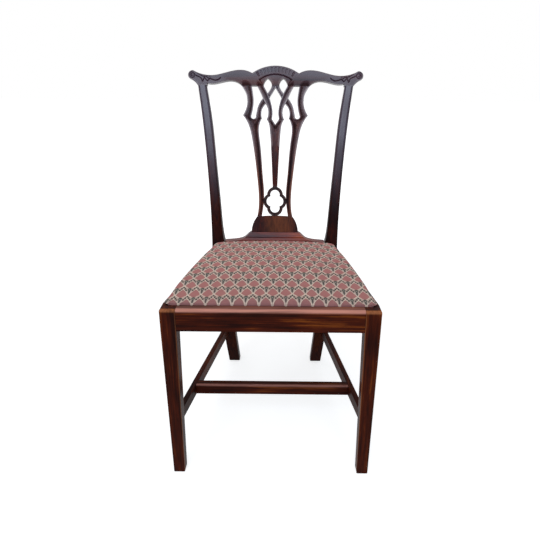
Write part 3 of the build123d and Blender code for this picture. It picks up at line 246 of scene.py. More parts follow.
class GrowthSheet(NodeSheet):
    """A Geometry Nodes tree with named sizes."""

    def __init__(self, name: str) -> None:
        """Makes the tree with its points as input.

        Args:
            name: the tree's name.
        """
        super().__init__(bpy.data.node_groups.new(name, "GeometryNodeTree"))
        self.entry = self.tree.nodes.new("NodeGroupInput")
        self.values: dict[str, float] = {}
        self.tree.interface.new_socket(name="Geometry", in_out="INPUT", socket_type="NodeSocketGeometry")
        self.points = Signal(self, self.entry.outputs["Geometry"])

    def size(self, name: str, value: float) -> Signal:
        """Adds a named size and keeps its value.

        Args:
            name: the input's name.
            value: a length in metres or an angle in radians.

        Returns:
            The input.
        """
        socket = self.tree.interface.new_socket(name=name, in_out="INPUT", socket_type="NodeSocketFloat")
        self.values[socket.identifier] = value
        return Signal(self, self.entry.outputs[name])

    def cone(self, sides: int, top: Signal, bottom: Signal, depth: Signal, rings: int = 1) -> Signal:
        """A cone that stands on its base and is cut off flat."""
        return self.node("GeometryNodeMeshCone", {"fill_type": "NGON"},
                         {"Vertices": sides, "Side Segments": rings, "Radius Top": top,
                          "Radius Bottom": bottom, "Depth": depth})

    def shaft(self, sides: int, tip: Signal, root: Signal, length: Signal) -> Signal:
        """A cone that hangs from its base."""
        return self.node("GeometryNodeTransform", None,
                         {"Geometry": self.cone(sides, tip, root, length), "Rotation": (math.pi, 0.0, 0.0)})

    def planted(self, parts: Sequence[Signal], rotation: Signal) -> Signal:
        """Joins parts and sets a copy on each point.

        Args:
            parts: the geometry to join.
            rotation: how each copy is turned.

        Returns:
            The copies, still as instances.
        """
        joined = self.tree.nodes.new("GeometryNodeJoinGeometry")
        for part in parts:
            self.tree.links.new(part.socket, joined.inputs[0])
        whole = Signal(self, joined.outputs[0])
        return self.node("GeometryNodeInstanceOnPoints", None,
                         {"Points": self.points, "Instance": whole, "Rotation": rotation})

    def grow(self, base: Mesh, result: Signal, material: Material) -> Mesh:
        """Runs the tree on a base mesh.

        Args:
            base: the mesh that the tree starts from.
            result: the geometry to keep, still as instances.
            material: the finish of all of it.

        Returns:
            A plain mesh.
        """
        real = self.node("GeometryNodeRealizeInstances", None, {0: result})
        dressed = self.node("GeometryNodeSetMaterial", None, {"Geometry": real, "Material": material})
        self.tree.interface.new_socket(name="Geometry", in_out="OUTPUT", socket_type="NodeSocketGeometry")
        end = self.tree.nodes.new("NodeGroupOutput")
        self.tree.links.new(dressed.socket, end.inputs[0])
        carrier = bpy.data.objects.new("carrier", base)
        bpy.context.scene.collection.objects.link(carrier)
        modifier = carrier.modifiers.new("growth", "NODES")
        modifier.node_group = self.tree
        for identifier, value in self.values.items():
            modifier[identifier] = value
        grown = bpy.data.meshes.new_from_object(
            carrier.evaluated_get(bpy.context.evaluated_depsgraph_get()))
        carrier.modifiers.remove(modifier)
        bpy.data.objects.remove(carrier)
        return grown


# Finishes


class Grain(Enum):
    """Axis that the wood's fibres follow."""

    ACROSS = 0
    DEEP = 1
    UPRIGHT = 2

    def stretch(self, share: float) -> Place:
        """Scale of the coordinates, drawn out along the fibres."""
        return tuple(share if axis == self.value else 1.0 for axis in range(3))


@dataclass(frozen=True)
class Fibre:
    """Noise drawn out along the wood's fibres."""

    stretch: float
    scale: float
    detail: float
    rough: float = 0.5

    def signal(self, sheet: FinishSheet, place: Signal, grain: Grain, shift: Place,
               turn: Place = (0.0, 0.0, 0.0)) -> Signal:
        """The noise, between 0 and 1, at a place in the timber."""
        drawn = sheet.node("ShaderNodeMapping", None,
                           {"Vector": place, "Location": shift, "Rotation": turn,
                            "Scale": grain.stretch(self.stretch)})
        return sheet.noise(drawn, self.scale, self.detail, self.rough)


@dataclass(frozen=True)
class WornHighlightEdge:
    """A straight edge where the polish is rubbed off and the wood shows lighter, on the front rail also a
    painted highlight; places in metres.
    """

    start: Place
    end: Place
    reach: float = 0.006
    strength: float = 0.8
    tone: Colour | None = None


@dataclass(frozen=True)
class Mahogany:
    """Old polished mahogany: dark figure, golden streaks, pores, rubbed edges, painted sheen and highlights,
    painted shade in carving; lengths in metres.
    """

    grain: Grain
    seed: float
    gold: float = 0.5
    light: float = 1.0
    lean: float = 0.0
    worn_and_highlit: tuple[WornHighlightEdge, ...] = ()
    carved: bool = False
    carve_shade_share: float = 0.85
    joints: tuple[float, ...] = ()
    polish: Point = (0.02, 0.02)
    polish_span: Point = (0.52, 0.84)
    polish_reach: Point | None = None
    lip_gloss: float = 0.30
    dark: Colour = (0.0110, 0.0019, 0.0009)
    middle: Colour = (0.0700, 0.0098, 0.0024)
    golden: Colour = (0.250, 0.066, 0.0090)
    rub_highlight_tone: Colour = (0.300, 0.128, 0.100)
    # colour of the painted shade in carved hollows
    sunk: Colour = (0.0080, 0.0020, 0.0022)
    # grey of the painted highlight on carved lips where the painted sheen is
    painted_lip_sheen: Colour = (0.320, 0.265, 0.275)
    # bluish colour of the painted sheen, a painted reflection of the window light
    painted_sheen: Colour = (0.0340, 0.0250, 0.0520)
    oval_dark_tone: Colour = (0.0170, 0.0130, 0.0155)
    oval: Place | None = None
    oval_half: Point = (0.0345, 0.0435)
    oval_span: Point = (1.06, 0.94)
    oval_share: float = 0.8
    cut_shares: Place = (1.0, 1.7, 0.6)
    figure: Fibre = Fibre(0.2, 24.0, 3.0, 0.55)
    streak: Fibre = Fibre(0.035, 230.0, 3.0, 0.6)
    pores: Fibre = Fibre(0.045, 1500.0, 1.0)
    patches: Fibre = Fibre(0.4, 30.0, 2.0)
    middle_span: Point = (0.36, 0.62)
    golden_span: Point = (0.53, 0.68)
    pore_span: Point = (0.60, 0.70)
    pore_share: float = 0.55
    rough: Point = (0.32, 0.16)
    carve_rough: float = 0.10
    # rub values shape the rubbed edges, which on the front rail also paint its highlight
    rub_rough: float = 0.08
    rub_span: Point = (0.30, 0.58)
    rub_least: float = 0.4
    painted_lip_sheen_span: Point = (0.15, 0.60)
    lip_span: Point = (0.16, 0.50)
    lip_share: float = 0.85
    lip_polish: Point = (0.06, 0.45)
    carve_dull: float = 0.9
    painted_sheen_share: float = 0.75
    joint_half: Point = (0.0007, 0.0003)
    joint_share: float = 0.85
    patch_share: Point = (0.65, 0.7)
    coat: float = 0.8
    coat_rough: float = 0.27
    specular: float = 0.03
    streak_height: float = 0.00005
    pore_depth: float = 0.00010
    relief: float = 0.6

    def material(self, name: str) -> Material:
        """Makes the finish.

        Args:
            name: the material's name.

        Returns:
            The material.
        """
        sheet = FinishSheet(name)
        place = sheet.place()
        shift = tuple(share * self.seed for share in self.cut_shares)
        turn = (0.0, self.lean, 0.0)
        figure = self.figure.signal(sheet, place, self.grain, shift, turn)
        streak = self.streak.signal(sheet, place, self.grain, shift, turn)
        pit = sheet.step(self.pores.signal(sheet, place, self.grain, shift), *self.pore_span)
        colour = self._timber(sheet, figure, streak, pit)
        rough = self.rough[0] + streak * self.rough[1]
        gloss = self.gloss(sheet, place)
        edging = None
        if self.carved:
            carve_and_shade, lip = (sheet.attribute(label) for label in CARVING_LABELS)
            # painted shade in the carved hollows, darkest on walls that face the middle of the chair
            colour = sheet.mix(carve_and_shade * self.carve_shade_share, colour, self.sunk)
            edging = self._edging(sheet, lip, gloss, streak)
            gloss = gloss * (1.0 - carve_and_shade * self.carve_dull)
            gloss = gloss + lip * (self.lip_polish[0] + gloss * self.lip_polish[1]) * self.lip_gloss
            rough = rough + carve_and_shade * self.carve_rough
        # rubbed edges, and on the front rail's top a painted highlight
        for edge in self.worn_and_highlit:
            rub_and_highlight = self._rub_and_highlight(sheet, place, edge, streak, figure)
            colour = sheet.mix(rub_and_highlight, colour, edge.tone or self.rub_highlight_tone)
            rough = rough + rub_and_highlight * self.rub_rough
        # painted sheen: the bluish reflection mixed into the colour where polish is kept
        colour = sheet.mix(gloss * self.painted_sheen_share, colour, self.painted_sheen)
        # painted highlight on the lips of the carving
        if edging is not None:
            colour = sheet.mix(edging[0], colour, edging[1])
        if self.oval is not None:
            colour = sheet.mix(self._oval(sheet, place) * self.oval_share, colour, self.oval_dark_tone)
        across = sheet.split(place)[0]
        for joint in self.joints:
            line = sheet.step(abs(abs(across) - joint), *self.joint_half)
            colour = sheet.mix(line * self.joint_share, colour, self.dark)
        return sheet.surface({
            "Base Color": colour,
            "Roughness": rough,
            "Specular IOR Level": self.specular,
            "Coat Weight": gloss * self.coat,
            "Coat Roughness": self.coat_rough,
            "Normal": sheet.bump(streak * self.streak_height - pit * self.pore_depth, self.relief),
        })

    def gloss(self, sheet: FinishSheet, place: Signal) -> Signal:
        """How much polish there is, by height; it sets the coat and also the painted sheen that stands in for
        reflected light.

        Args:
            sheet: the finish.
            place: Object coordinates.

        Returns:
            The share of polish and painted sheen.
        """
        low, high = self.polish
        across, _, upward = sheet.split(place)
        kept = sheet.step(upward, *self.polish_span)
        if self.polish_reach is not None:
            kept = sheet.maths("MAXIMUM", kept, sheet.step(abs(across), *self.polish_reach))
        patch = self.patches.signal(sheet, place, self.grain, (self.seed,) * 3)
        return (low + kept * (high - low)) * (self.patch_share[0] + patch * self.patch_share[1])

    def _timber(self, sheet: FinishSheet, figure: Signal, streak: Signal, pit: Signal) -> Signal:
        """Colour of the bare wood.

        Args:
            sheet: the finish.
            figure: broad figure of the wood.
            streak: its fine streaks.
            pit: 1 in a pore.

        Returns:
            The colour.
        """
        dark, middle, golden = (tuple(part * self.light for part in colour)
                                for colour in (self.dark, self.middle, self.golden))
        colour = sheet.mix(sheet.step(figure * 0.6 + streak * 0.4, *self.middle_span), dark, middle)
        gold = sheet.step(figure * 0.55 + streak * 0.45, *self.golden_span) * self.gold
        return sheet.mix(pit * self.pore_share, sheet.mix(gold, colour, golden), dark)

    def _edging(self, sheet: FinishSheet, lip: Signal, gloss: Signal,
                streak: Signal) -> tuple[Signal, Signal]:
        """Rubbed lips of carved straps with a painted highlight, grey where the painted sheen is: their share
        and their colour.
        """
        share = lip * sheet.step(streak, *self.lip_span) * (self.lip_share * self.lip_gloss)
        return share, sheet.mix(sheet.step(gloss, *self.painted_lip_sheen_span), self.rub_highlight_tone, self.painted_lip_sheen)

    def _oval(self, sheet: FinishSheet, place: Signal) -> Signal:
        """Finds the darkened oval.

        Args:
            sheet: the finish.
            place: Object coordinates.

        Returns:
            1 within the oval.
        """
        wide, tall = self.oval_half
        offset = sheet.vector("SUBTRACT", place, self.oval)
        scaled = sheet.vector("MULTIPLY", offset, (1.0 / wide, 0.0, 1.0 / tall))
        return sheet.step(sheet.vector("LENGTH", scaled, output="Value"), *self.oval_span)

    def _rub_and_highlight(self, sheet: FinishSheet, place: Signal, edge: WornHighlightEdge, streak: Signal,
             figure: Signal) -> Signal:
        """Share of rubbed wood beside one edge, which on the front rail also paints its highlight.

        Args:
            sheet: the finish.
            place: Object coordinates.
            edge: the edge.
            streak: fine streaks of the wood.
            figure: its broad figure.

        Returns:
            The share.
        """
        way = (Vector(edge.end) - Vector(edge.start)).normalized()
        offset = sheet.vector("SUBTRACT", place, edge.start)
        gap = sheet.vector("LENGTH", sheet.vector("CROSS_PRODUCT", offset, tuple(way)), output="Value")
        near = sheet.step(gap, edge.reach, 0.25 * edge.reach)
        bare = sheet.step(streak * 0.6 + figure * 0.4, *self.rub_span)
        return near * (self.rub_least + bare * (1.0 - self.rub_least)) * edge.strength


@dataclass(frozen=True)
class StileMahogany(Mahogany):
    """Mahogany of a rear leg, whose stile keeps most polish and painted sheen along the middle of its front,
    a painted highlight of its rounded face; metres.
    """

    foot: float = 0.448
    rise: float = 0.464
    outer: Place = (0.1895, 0.0355, 0.025)
    half: float = 0.0148
    edge_polish: float = 0.55

    def gloss(self, sheet: FinishSheet, place: Signal) -> Signal:
        """Polish and painted sheen by height and by place across the stile.

        Args:
            sheet: the finish.
            place: Object coordinates.

        Returns:
            The share of polish and painted sheen.
        """
        across, _, upward = sheet.split(place)
        share = (upward - self.foot) / self.rise
        face, spread, bow = self.outer
        middle = face - self.half + share * spread - share * (1.0 - share) * bow
        # painted highlight band down the middle of the stile's front, with duller sides
        band = sheet.step(abs(abs(across) - middle), 0.95 * self.half, 0.35 * self.half)
        return super().gloss(sheet, place) * (self.edge_polish + band * (1.0 - self.edge_polish))


@dataclass(frozen=True)
class Beech:
    """Plain unpolished beech for the hidden pieces."""

    grain: Grain
    seed: float
    pale: Colour = (0.46, 0.29, 0.155)
    brown: Colour = (0.30, 0.165, 0.078)
    figure: Fibre = Fibre(0.12, 40.0, 3.0)
    fleck: Fibre = Fibre(0.1, 900.0, 1.0)
    figure_span: Point = (0.35, 0.65)
    fleck_span: Point = (0.58, 0.70)

    def material(self, name: str) -> Material:
        """Makes the finish.

        Args:
            name: the material's name.

        Returns:
            The material.
        """
        sheet = FinishSheet(name)
        place = sheet.place()
        figure, fleck = (fibre.signal(sheet, place, self.grain, (self.seed,) * 3)
                         for fibre in (self.figure, self.fleck))
        colour = sheet.mix(sheet.step(figure, *self.figure_span), self.pale, self.brown)
        colour = sheet.mix(sheet.step(fleck, *self.fleck_span) * 0.5, colour, self.brown)
        return sheet.surface({
            "Base Color": colour,
            "Roughness": 0.62 + fleck * 0.15,
            "Normal": sheet.bump(fleck * 0.0001, 0.5),
        })


@dataclass(frozen=True)
class Iron:
    """Dull steel of the screws and tacks, a little rusted."""

    bright: Colour = (0.33, 0.32, 0.31)
    rust: Colour = (0.16, 0.075, 0.04)
    rust_span: Point = (0.46, 0.62)

    def material(self, name: str) -> Material:
        """Makes the finish.

        Args:
            name: the material's name.

        Returns:
            The material.
        """
        sheet = FinishSheet(name)
        place = sheet.place()
        rusted = sheet.step(sheet.noise(place, 160.0, 3.0), *self.rust_span)
        grit = sheet.noise(place, 1800.0, 2.0)
        return sheet.surface({
            "Base Color": sheet.mix(rusted, self.bright, self.rust),
            "Metallic": 1.0 - rusted * 0.6,
            "Roughness": 0.36 + rusted * 0.4,
            "Normal": sheet.bump(grit * 0.00006, 0.5),
        })


@dataclass(frozen=True)
class PlainWeave:
    """Coarse plain weave of jute or hessian, from Object coordinates; lengths in metres."""

    thread: float
    light: Colour
    dark: Colour
    stripe: Colour | None = None
    stripe_axis: int = 0
    stripe_middle: float = 0.0
    stripe_reach: float = 0.018
    stripe_half: Point = (0.0022, 0.0014)
    height_span: Point = (0.3, 1.0)
    blotch_span: Point = (0.35, 0.7)

    def material(self, name: str) -> Material:
        """Makes the finish.

        Args:
            name: the material's name.

        Returns:
            The material.
        """
        sheet = FinishSheet(name)
        place = sheet.place()
        parts = sheet.split(place)
        height = sheet.weave(parts[0], parts[1], self.thread)
        fibre = sheet.noise(place, 900.0, 3.0, 0.6)
        blotch = sheet.noise(place, 28.0, 2.0)
        # raised threads lighter, the dips between them darker: painted shade
        colour = sheet.mix(sheet.step(height * 0.7 + fibre * 0.5, *self.height_span), self.dark, self.light)
        colour = sheet.mix(sheet.step(blotch, *self.blotch_span) * 0.3, colour, self.dark)
        if self.stripe is not None:
            gap = abs(abs(parts[self.stripe_axis] - self.stripe_middle) - self.stripe_reach)
            colour = sheet.mix(sheet.step(gap, *self.stripe_half) * 0.75, colour, self.stripe)
        return sheet.surface({
            "Base Color": colour,
            "Roughness": 0.9,
            "Normal": sheet.bump(height * (0.35 * self.thread), 0.8),
        })


@dataclass(frozen=True)
class ScaleWeave:
    """Woven cover with a traditional scale repeat: pale dotted arches, rose fields and small tulips.

    The profiles are stops of (drop below an arch's top as a share of the row, share of half a pitch).
    Lengths are in metres.
    """

    pitch: float = 0.0298
    row: float = 0.0364
    shift: Point = (-0.0109, -0.2415)
    wander: float = 0.0009
    arch: Points = ((0.0, 0.10), (0.09, 0.27), (0.20, 0.56), (0.31, 0.90), (0.42, 1.0), (1.0, 1.0))
    heart: Points = ((0.45, 0.0), (0.60, 0.34), (0.75, 0.56), (0.90, 0.74), (1.0, 0.82))
    tulip: Points = ((0.28, 0.0), (0.31, 0.26), (0.45, 0.31), (0.55, 0.20), (0.60, 0.16), (0.83, 0.14),
                     (0.92, 0.0))
    tulip_shade: float = 0.14
    tulip_cap: float = 0.46
    eye: Place = (0.47, 0.085, 0.05)
    line: float = 0.16
    line_end: Point = (0.44, 0.38)
    mist_span: Point = (0.46, 0.60)
    dots: Points = ((0.0, 0.20), (0.25, 0.35), (0.50, 0.51))
    dot_size: Point = (0.00225, 0.00345)
    stitch: float = 0.0036
    stitch_least: float = 0.35
    thread: float = 0.00085
    front_roll_span: Point = (-0.215, -0.252)
    frontward_span: Point = (0.06, -0.27)
    frontward_share: float = 0.26
    rose: Colour = (0.505, 0.164, 0.148)
    deep_rose: Colour = (0.290, 0.088, 0.092)
    plum: Colour = (0.150, 0.058, 0.078)
    cream: Colour = (0.930, 0.750, 0.590)
    ground: Colour = (0.600, 0.425, 0.345)
    mist: Colour = (0.640, 0.470, 0.400)
    green: Colour = (0.082, 0.110, 0.084)
    stem: Colour = (0.026, 0.034, 0.028)
    ink_and_weave_shade: Colour = (0.016, 0.011, 0.010)
    frontward_tone: Colour = (0.110, 0.085, 0.085)

    def material(self, name: str, uv: str) -> Material:
        """Makes the finish.

        Args:
            name: the material's name.
            uv: the UV map that gives flat cloth places in metres.

        Returns:
            The material.
        """
        sheet = FinishSheet(name)
        flat = sheet.node("ShaderNodeUVMap", {"uv_map": uv})
        u, v, _ = sheet.split(flat)
        stray = sheet.noise(flat, 60.0, 2.0)
        across = (self._snapped(sheet, u) + stray * self.wander - self.shift[0]) / self.pitch
        along = (self._snapped(sheet, v) + stray * self.wander - self.shift[1]) / self.row
        level = sheet.maths("FLOOR", along)
        odd = sheet.maths("FRACT", level * 0.5)
        drop = 1.0 - (along - level)
        reach = abs(sheet.maths("FRACT", across - odd + 0.5) - 0.5) * 2.0
        # the front roll is painted darker plum, as painted shade where the cover faces forward
        front_roll_shade = sheet.step(v, *self.front_roll_span)
        colour = sheet.mix(stray * 0.4 + front_roll_shade * 0.35, self.rose, self.deep_rose)
        colour = sheet.mix(front_roll_shade * 0.6, colour, self.plum)
        colour = self._edging(sheet, colour, drop, reach)
        colour = self._leaf(sheet, colour, drop, 1.0 - reach)
        # darker towards the front of the seat
        colour = sheet.mix(sheet.step(v, *self.frontward_span) * self.frontward_share, colour, self.frontward_tone)
        return self._woven(sheet, flat, colour)

    def _snapped(self, sheet: FinishSheet, place: Signal) -> Signal:
        """A place moved to the middle of its thread."""
        return (sheet.maths("FLOOR", place / self.thread) + 0.5) * self.thread

    def _profile(self, sheet: FinishSheet, drop: Signal, stops: Sequence[Point]) -> Signal:
        """Half width of a figure at a drop below the arch's top."""
        return sheet.node("ShaderNodeValToRGB", {"stops": [(place, (half,) * 3) for place, half in stops]},
                          {"Fac": drop})

    def _edging(self, sheet: FinishSheet, colour: Signal, drop: Signal, reach: Signal) -> Signal:
        """Pale arch round each field, lined on both sides, with dark dots between the lines.

        Args:
            sheet: the finish.
            colour: the cloth's colour so far.
            drop: drop below the arch's top, as a share of the row.
            reach: distance from the arch's middle, as a share of half a pitch.

        Returns:
            The colour with the arch.
        """
        gap = self._profile(sheet, drop, self.arch) - reach
        core = reach - self._profile(sheet, drop, self.heart)
        inside = gap > 0.0
        field_top = sheet.step(core, -0.30, -0.05) * sheet.step(drop, 0.80, 0.55) * inside
        colour = sheet.mix(field_top * 0.45, colour, self.deep_rose)
        band = inside * (core > 0.0)
        colour = sheet.mix(band, colour, self.ground)
        colour = sheet.mix(band * sheet.step(drop, *self.mist_span), colour, self.mist)
        outer = inside * sheet.step(gap, self.line, 0.8 * self.line) * sheet.step(drop, *self.line_end)
        inner = sheet.step(abs(core - 0.5 * self.line), 0.55 * self.line, 0.35 * self.line) * inside
        dash = sheet.step(sheet.maths("SINE", drop * (2 * math.pi * self.row / self.stitch)), -0.5, 0.5)
        inner = inner * (self.stitch_least + dash * (1.0 - self.stitch_least))
        colour = sheet.mix(sheet.maths("MAXIMUM", outer, inner), colour, self.cream)
        wide, tall = self.dot_size
        for place, fall in self.dots:
            aside = (reach - place) * (0.5 * self.pitch / wide)
            below = (drop - fall) * (self.row / tall)
            spot = aside * aside + below * below
            colour = sheet.mix(sheet.step(spot, 1.25, 0.80), colour, self.ink_and_weave_shade)
        return colour

    def _leaf(self, sheet: FinishSheet, colour: Signal, drop: Signal, side: Signal) -> Signal:
        """Small dark tulip on a stem between two arches.

        Args:
            sheet: the finish.
            colour: the cloth's colour so far.
            drop: drop below the arch's top, as a share of the row.
            side: distance from the tulip's middle, as a share of half a pitch.

        Returns:
            The colour with the tulip.
        """
        shade = sheet.step(drop, 0.12, 0.32) * sheet.step(side, 0.42, 0.30)
        colour = sheet.mix(shade * self.tulip_shade, colour, self.green)
        leaf = sheet.step(self._profile(sheet, drop, self.tulip) - side, -0.01, 0.02)
        tone = sheet.mix(sheet.step(abs(drop - self.tulip_cap), 0.04, 0.09), self.green, self.stem)
        colour = sheet.mix(leaf, colour, tone)
        fall, wide, tall = self.eye
        spot = (side / wide) ** 2.0 + (abs(drop - fall) / tall) ** 2.0
        return sheet.mix(sheet.step(spot, 1.3, 0.6) * 0.55, colour, self.ground)

    def _woven(self, sheet: FinishSheet, flat: Signal, colour: Signal) -> Material:
        """Threads with painted shade in their dips, fading and soil over the pattern.

        Args:
            sheet: the finish.
            flat: places on the flat cloth.
            colour: the pattern's colour.

        Returns:
            The material.
        """
        u, v, _ = sheet.split(flat)
        height = sheet.weave(u, v, self.thread)
        fuzz = sheet.noise(flat, 1600.0, 2.0, 0.6)
        soil = sheet.noise(flat, 9.0, 3.0)
        # painted shade in the dips between the threads
        colour = sheet.mix((1.0 - height) * 0.20, colour, self.ink_and_weave_shade)
        colour = sheet.mix(fuzz * 0.08, colour, self.cream)
        colour = sheet.mix(sheet.step(soil, 0.42, 0.75) * 0.14, colour, self.deep_rose)
        return sheet.surface({
            "Base Color": colour,
            "Roughness": 0.92,
            "Specular IOR Level": 0.12,
            "Sheen Weight": 0.08,
            "Sheen Roughness": 0.5,
            "Normal": sheet.bump(height * 0.00022 + fuzz * 0.00012, 0.7),
        })


# Lines and meshes


def smooth_line(points: Sequence[Point], step: float) -> Loop:
    """Samples a cubic curve through points, with end slopes from the nearest four of them.

    Args:
        points: the points to pass through.
        step: about how far apart the samples are.

    Returns:
        The samples, both ends included.
    """
    knots = np.array(points, float)
    spans = np.hypot(*np.diff(knots, axis=0).T)
    places = np.concatenate(([0.0], np.cumsum(spans)))
    system = np.eye(len(knots))
    target = np.zeros_like(knots)
    for row in range(1, len(knots) - 1):
        before, after = spans[row - 1], spans[row]
        system[row, row - 1:row + 2] = (before, 2 * (before + after), after)
        target[row] = 6 * ((knots[row + 1] - knots[row]) / after - (knots[row] - knots[row - 1]) / before)
    slopes = [end_slope(places, knots), end_slope(places[::-1], knots[::-1])]
    system[0, :2] = (2 * spans[0], spans[0])
    target[0] = 6 * ((knots[1] - knots[0]) / spans[0] - slopes[0])
    system[-1, -2:] = (spans[-1], 2 * spans[-1])
    target[-1] = 6 * (slopes[1] - (knots[-1] - knots[-2]) / spans[-1])
    bend = np.linalg.solve(system, target)
    samples = np.linspace(0.0, places[-1], max(2, round(places[-1] / step) + 1))
    span = np.clip(np.searchsorted(places, samples, side="right") - 1, 0, len(spans) - 1)
    length = spans[span][:, None]
    left = ((places[span + 1] - samples) / spans[span])[:, None]
    right = 1.0 - left
    curve = left * knots[span] + right * knots[span + 1] + length ** 2 / 6 * (
        (left ** 3 - left) * bend[span] + (right ** 3 - right) * bend[span + 1])
    return [tuple(point) for point in curve]


def end_slope(places: Array, knots: Array) -> Array:
    """Slope at the first of some points, from the cubic through the first four."""
    count = min(4, len(places))
    return np.polyfit(places[:count] - places[0], knots[:count], count - 1)[-2]


def arc_line(start: Point, middle: Point, end: Point, step: float) -> Loop:
    """Samples the arc through three points.

    Args:
        start: its first point.
        middle: a point on it.
        end: its last point.
        step: about how far apart the samples are.

    Returns:
        The samples, both ends included.
    """
    first, second, third = (complex(*point) for point in (start, middle, end))
    ratio = (third - first) / (second - first)
    centre = (second - first) * (ratio - abs(ratio) ** 2) / (2j * ratio.imag) + first
    spoke = first - centre
    whole = np.angle((third - centre) / spoke)
    part = np.angle((second - centre) / spoke)
    if part * whole < 0 or abs(part) > abs(whole):
        whole -= math.copysign(2 * math.pi, whole)
    count = max(2, round(abs(whole) * abs(spoke) / step) + 1)
    samples = centre + spoke * np.exp(1j * np.linspace(0.0, whole, count))
    return [(sample.real, sample.imag) for sample in samples]


def circle_line(centre: Point, radius: float, step: float) -> Loop:
    """Samples a circle.

    Args:
        centre: its middle.
        radius: its radius.
        step: about how far apart the samples are.

    Returns:
        The samples.
    """
    count = round(2 * math.pi * radius / step)
    turns = [2 * math.pi * index / count for index in range(count)]
    return [(centre[0] + radius * math.cos(turn), centre[1] + radius * math.sin(turn)) for turn in turns]


def mirrored(loop: Sequence[Point]) -> Loop:
    """A loop on the other side of the middle line."""
    return [(-x, y) for x, y in reversed(loop)]


def inside_any(points: Array, loops: Sequence[Sequence[Point]]) -> Array:
    """Tests which points lie in one of the loops.

    Args:
        points: the points.
        loops: closed outlines.

    Returns:
        True for each point that does.
    """
    found = np.zeros(len(points), bool)
    for loop in loops:
        corners = np.array(loop, float)
        after = np.roll(corners, -1, axis=0)
        odd = np.zeros(len(points), bool)
        for (x0, y0), (x1, y1) in zip(corners, after):
            if y0 != y1:
                spans = (y0 > points[:, 1]) != (y1 > points[:, 1])
                odd ^= spans & (points[:, 0] < (x1 - x0) * (points[:, 1] - y0) / (y1 - y0) + x0)
        found |= odd
    return found


def stroke_gap(points: Array, line: Sequence[Point]) -> Array:
    """Measures how far points lie from a line of straight pieces.

    Args:
        points: the points.
        line: the line's corners.

    Returns:
        The distance of each point.
    """
    nearest = np.full(len(points), 1e9)
    for start, end in zip(line[:-1], line[1:]):
        first = np.array(start)
        run = np.array(end) - first
        share = np.clip((points - first) @ run / (run @ run), 0.0, 1.0)
        nearest = np.minimum(nearest, np.hypot(*(points - first - share[:, None] * run).T))
    return nearest


def gouge(points: Array, line: Sequence[Point], deep: float, width: float) -> Array:
    """Depth of a round cut along a line."""
    return deep * np.exp(-(stroke_gap(points, line) / width) ** 2)


def rounded_drop(radius: Array, gap: Array) -> Array:
    """How far a rounded edge falls at a distance from its end."""
    lost = np.clip(radius - gap, 0.0, None)
    return radius - np.sqrt(np.maximum(radius ** 2 - lost ** 2, 0.0))


def smooth_step(value: Array, low: float, high: float) -> Array:
    """0 below low, 1 above high, smooth between."""
    share = np.clip((value - low) / (high - low), 0.0, 1.0)
    return share * share * (3.0 - 2.0 * share)


def make_piece(name: str, points: Array, faces: Sequence[Sequence[int]],
               material: Material, sharp: float = 40.0) -> Object:
    """Makes a smooth-shaded mesh object.

    Args:
        name: the piece's name.
        points: its corners in metres.
        faces: corner numbers of each face.
        material: its finish.
        sharp: the angle in degrees past which an edge stays sharp.

    Returns:
        The object, at the origin.
    """
    mesh = bpy.data.meshes.new(name)
    mesh.from_pydata([tuple(point) for point in points], [], [tuple(face) for face in faces])
    mesh.validate()
    mesh.materials.append(material)
    return show_mesh(name, mesh, sharp)


def show_mesh(name: str, mesh: Mesh, sharp: float = 40.0) -> Object:
    """Puts a mesh in the scene as a piece with smooth shading.

    Args:
        name: the piece's name.
        mesh: its mesh.
        sharp: the angle in degrees past which an edge stays sharp.

    Returns:
        The object, at the origin.
    """
    mesh.shade_smooth()
    mesh.set_sharp_from_angle(angle=math.radians(sharp))
    piece = bpy.data.objects.new(name, mesh)
    bpy.context.scene.collection.objects.link(piece)
    return piece


def settle(piece: Object, body: str, slot: str, *nodes: str) -> Object:
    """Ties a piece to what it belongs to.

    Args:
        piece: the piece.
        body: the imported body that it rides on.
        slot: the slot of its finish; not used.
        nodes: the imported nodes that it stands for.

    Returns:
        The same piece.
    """
    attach(piece, body)
    if nodes:
        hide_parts(*nodes)
    return piece


def point_mesh(points: Sequence[Vector]) -> Mesh:
    """Makes a mesh of loose points.

    Args:
        points: the points.

    Returns:
        The mesh.
    """
    mesh = bpy.data.meshes.new("places")
    mesh.from_pydata([tuple(point) for point in points], [], [])
    return mesh


def solids_of(node: str) -> list[Array]:
    """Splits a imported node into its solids.

    Args:
        node: the node's name.

    Returns:
        The corners of each separate solid.
    """
    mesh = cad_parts[node].data
    corners = np.array([vertex.co for vertex in mesh.vertices])
    _, same = np.unique(np.round(corners / SAME_CORNER).astype(int), axis=0, return_inverse=True)
    same = same.ravel()
    root = np.arange(same.max() + 1)

    def find(index: int) -> int:
        """Follows a corner to the first corner of its solid."""
        while root[index] != index:
            root[index] = root[root[index]]
            index = root[index]
        return index

    for polygon in mesh.polygons:
        first = find(same[polygon.vertices[0]])
        for vertex in polygon.vertices[1:]:
            root[find(same[vertex])] = first
    owner = np.array([find(index) for index in same])
    return [corners[owner == index] for index in np.unique(owner)]


# The carved back


@dataclass(frozen=True)
class BackPlane:
    """The raked plane of the chair's back; lengths in mm."""

    foot_y: float
    foot_z: float
    rake: float = math.radians(10.65)

    def place(self, flat: Array, out: Array) -> Array:
        """Points in metres from x, height up the rake and distance out of the front."""
        lean, rise = math.sin(self.rake), math.cos(self.rake)
        return MM * np.column_stack((flat[:, 0],
                                     self.foot_y + flat[:, 1] * lean - out * rise,
                                     self.foot_z + flat[:, 1] * rise + out * lean))


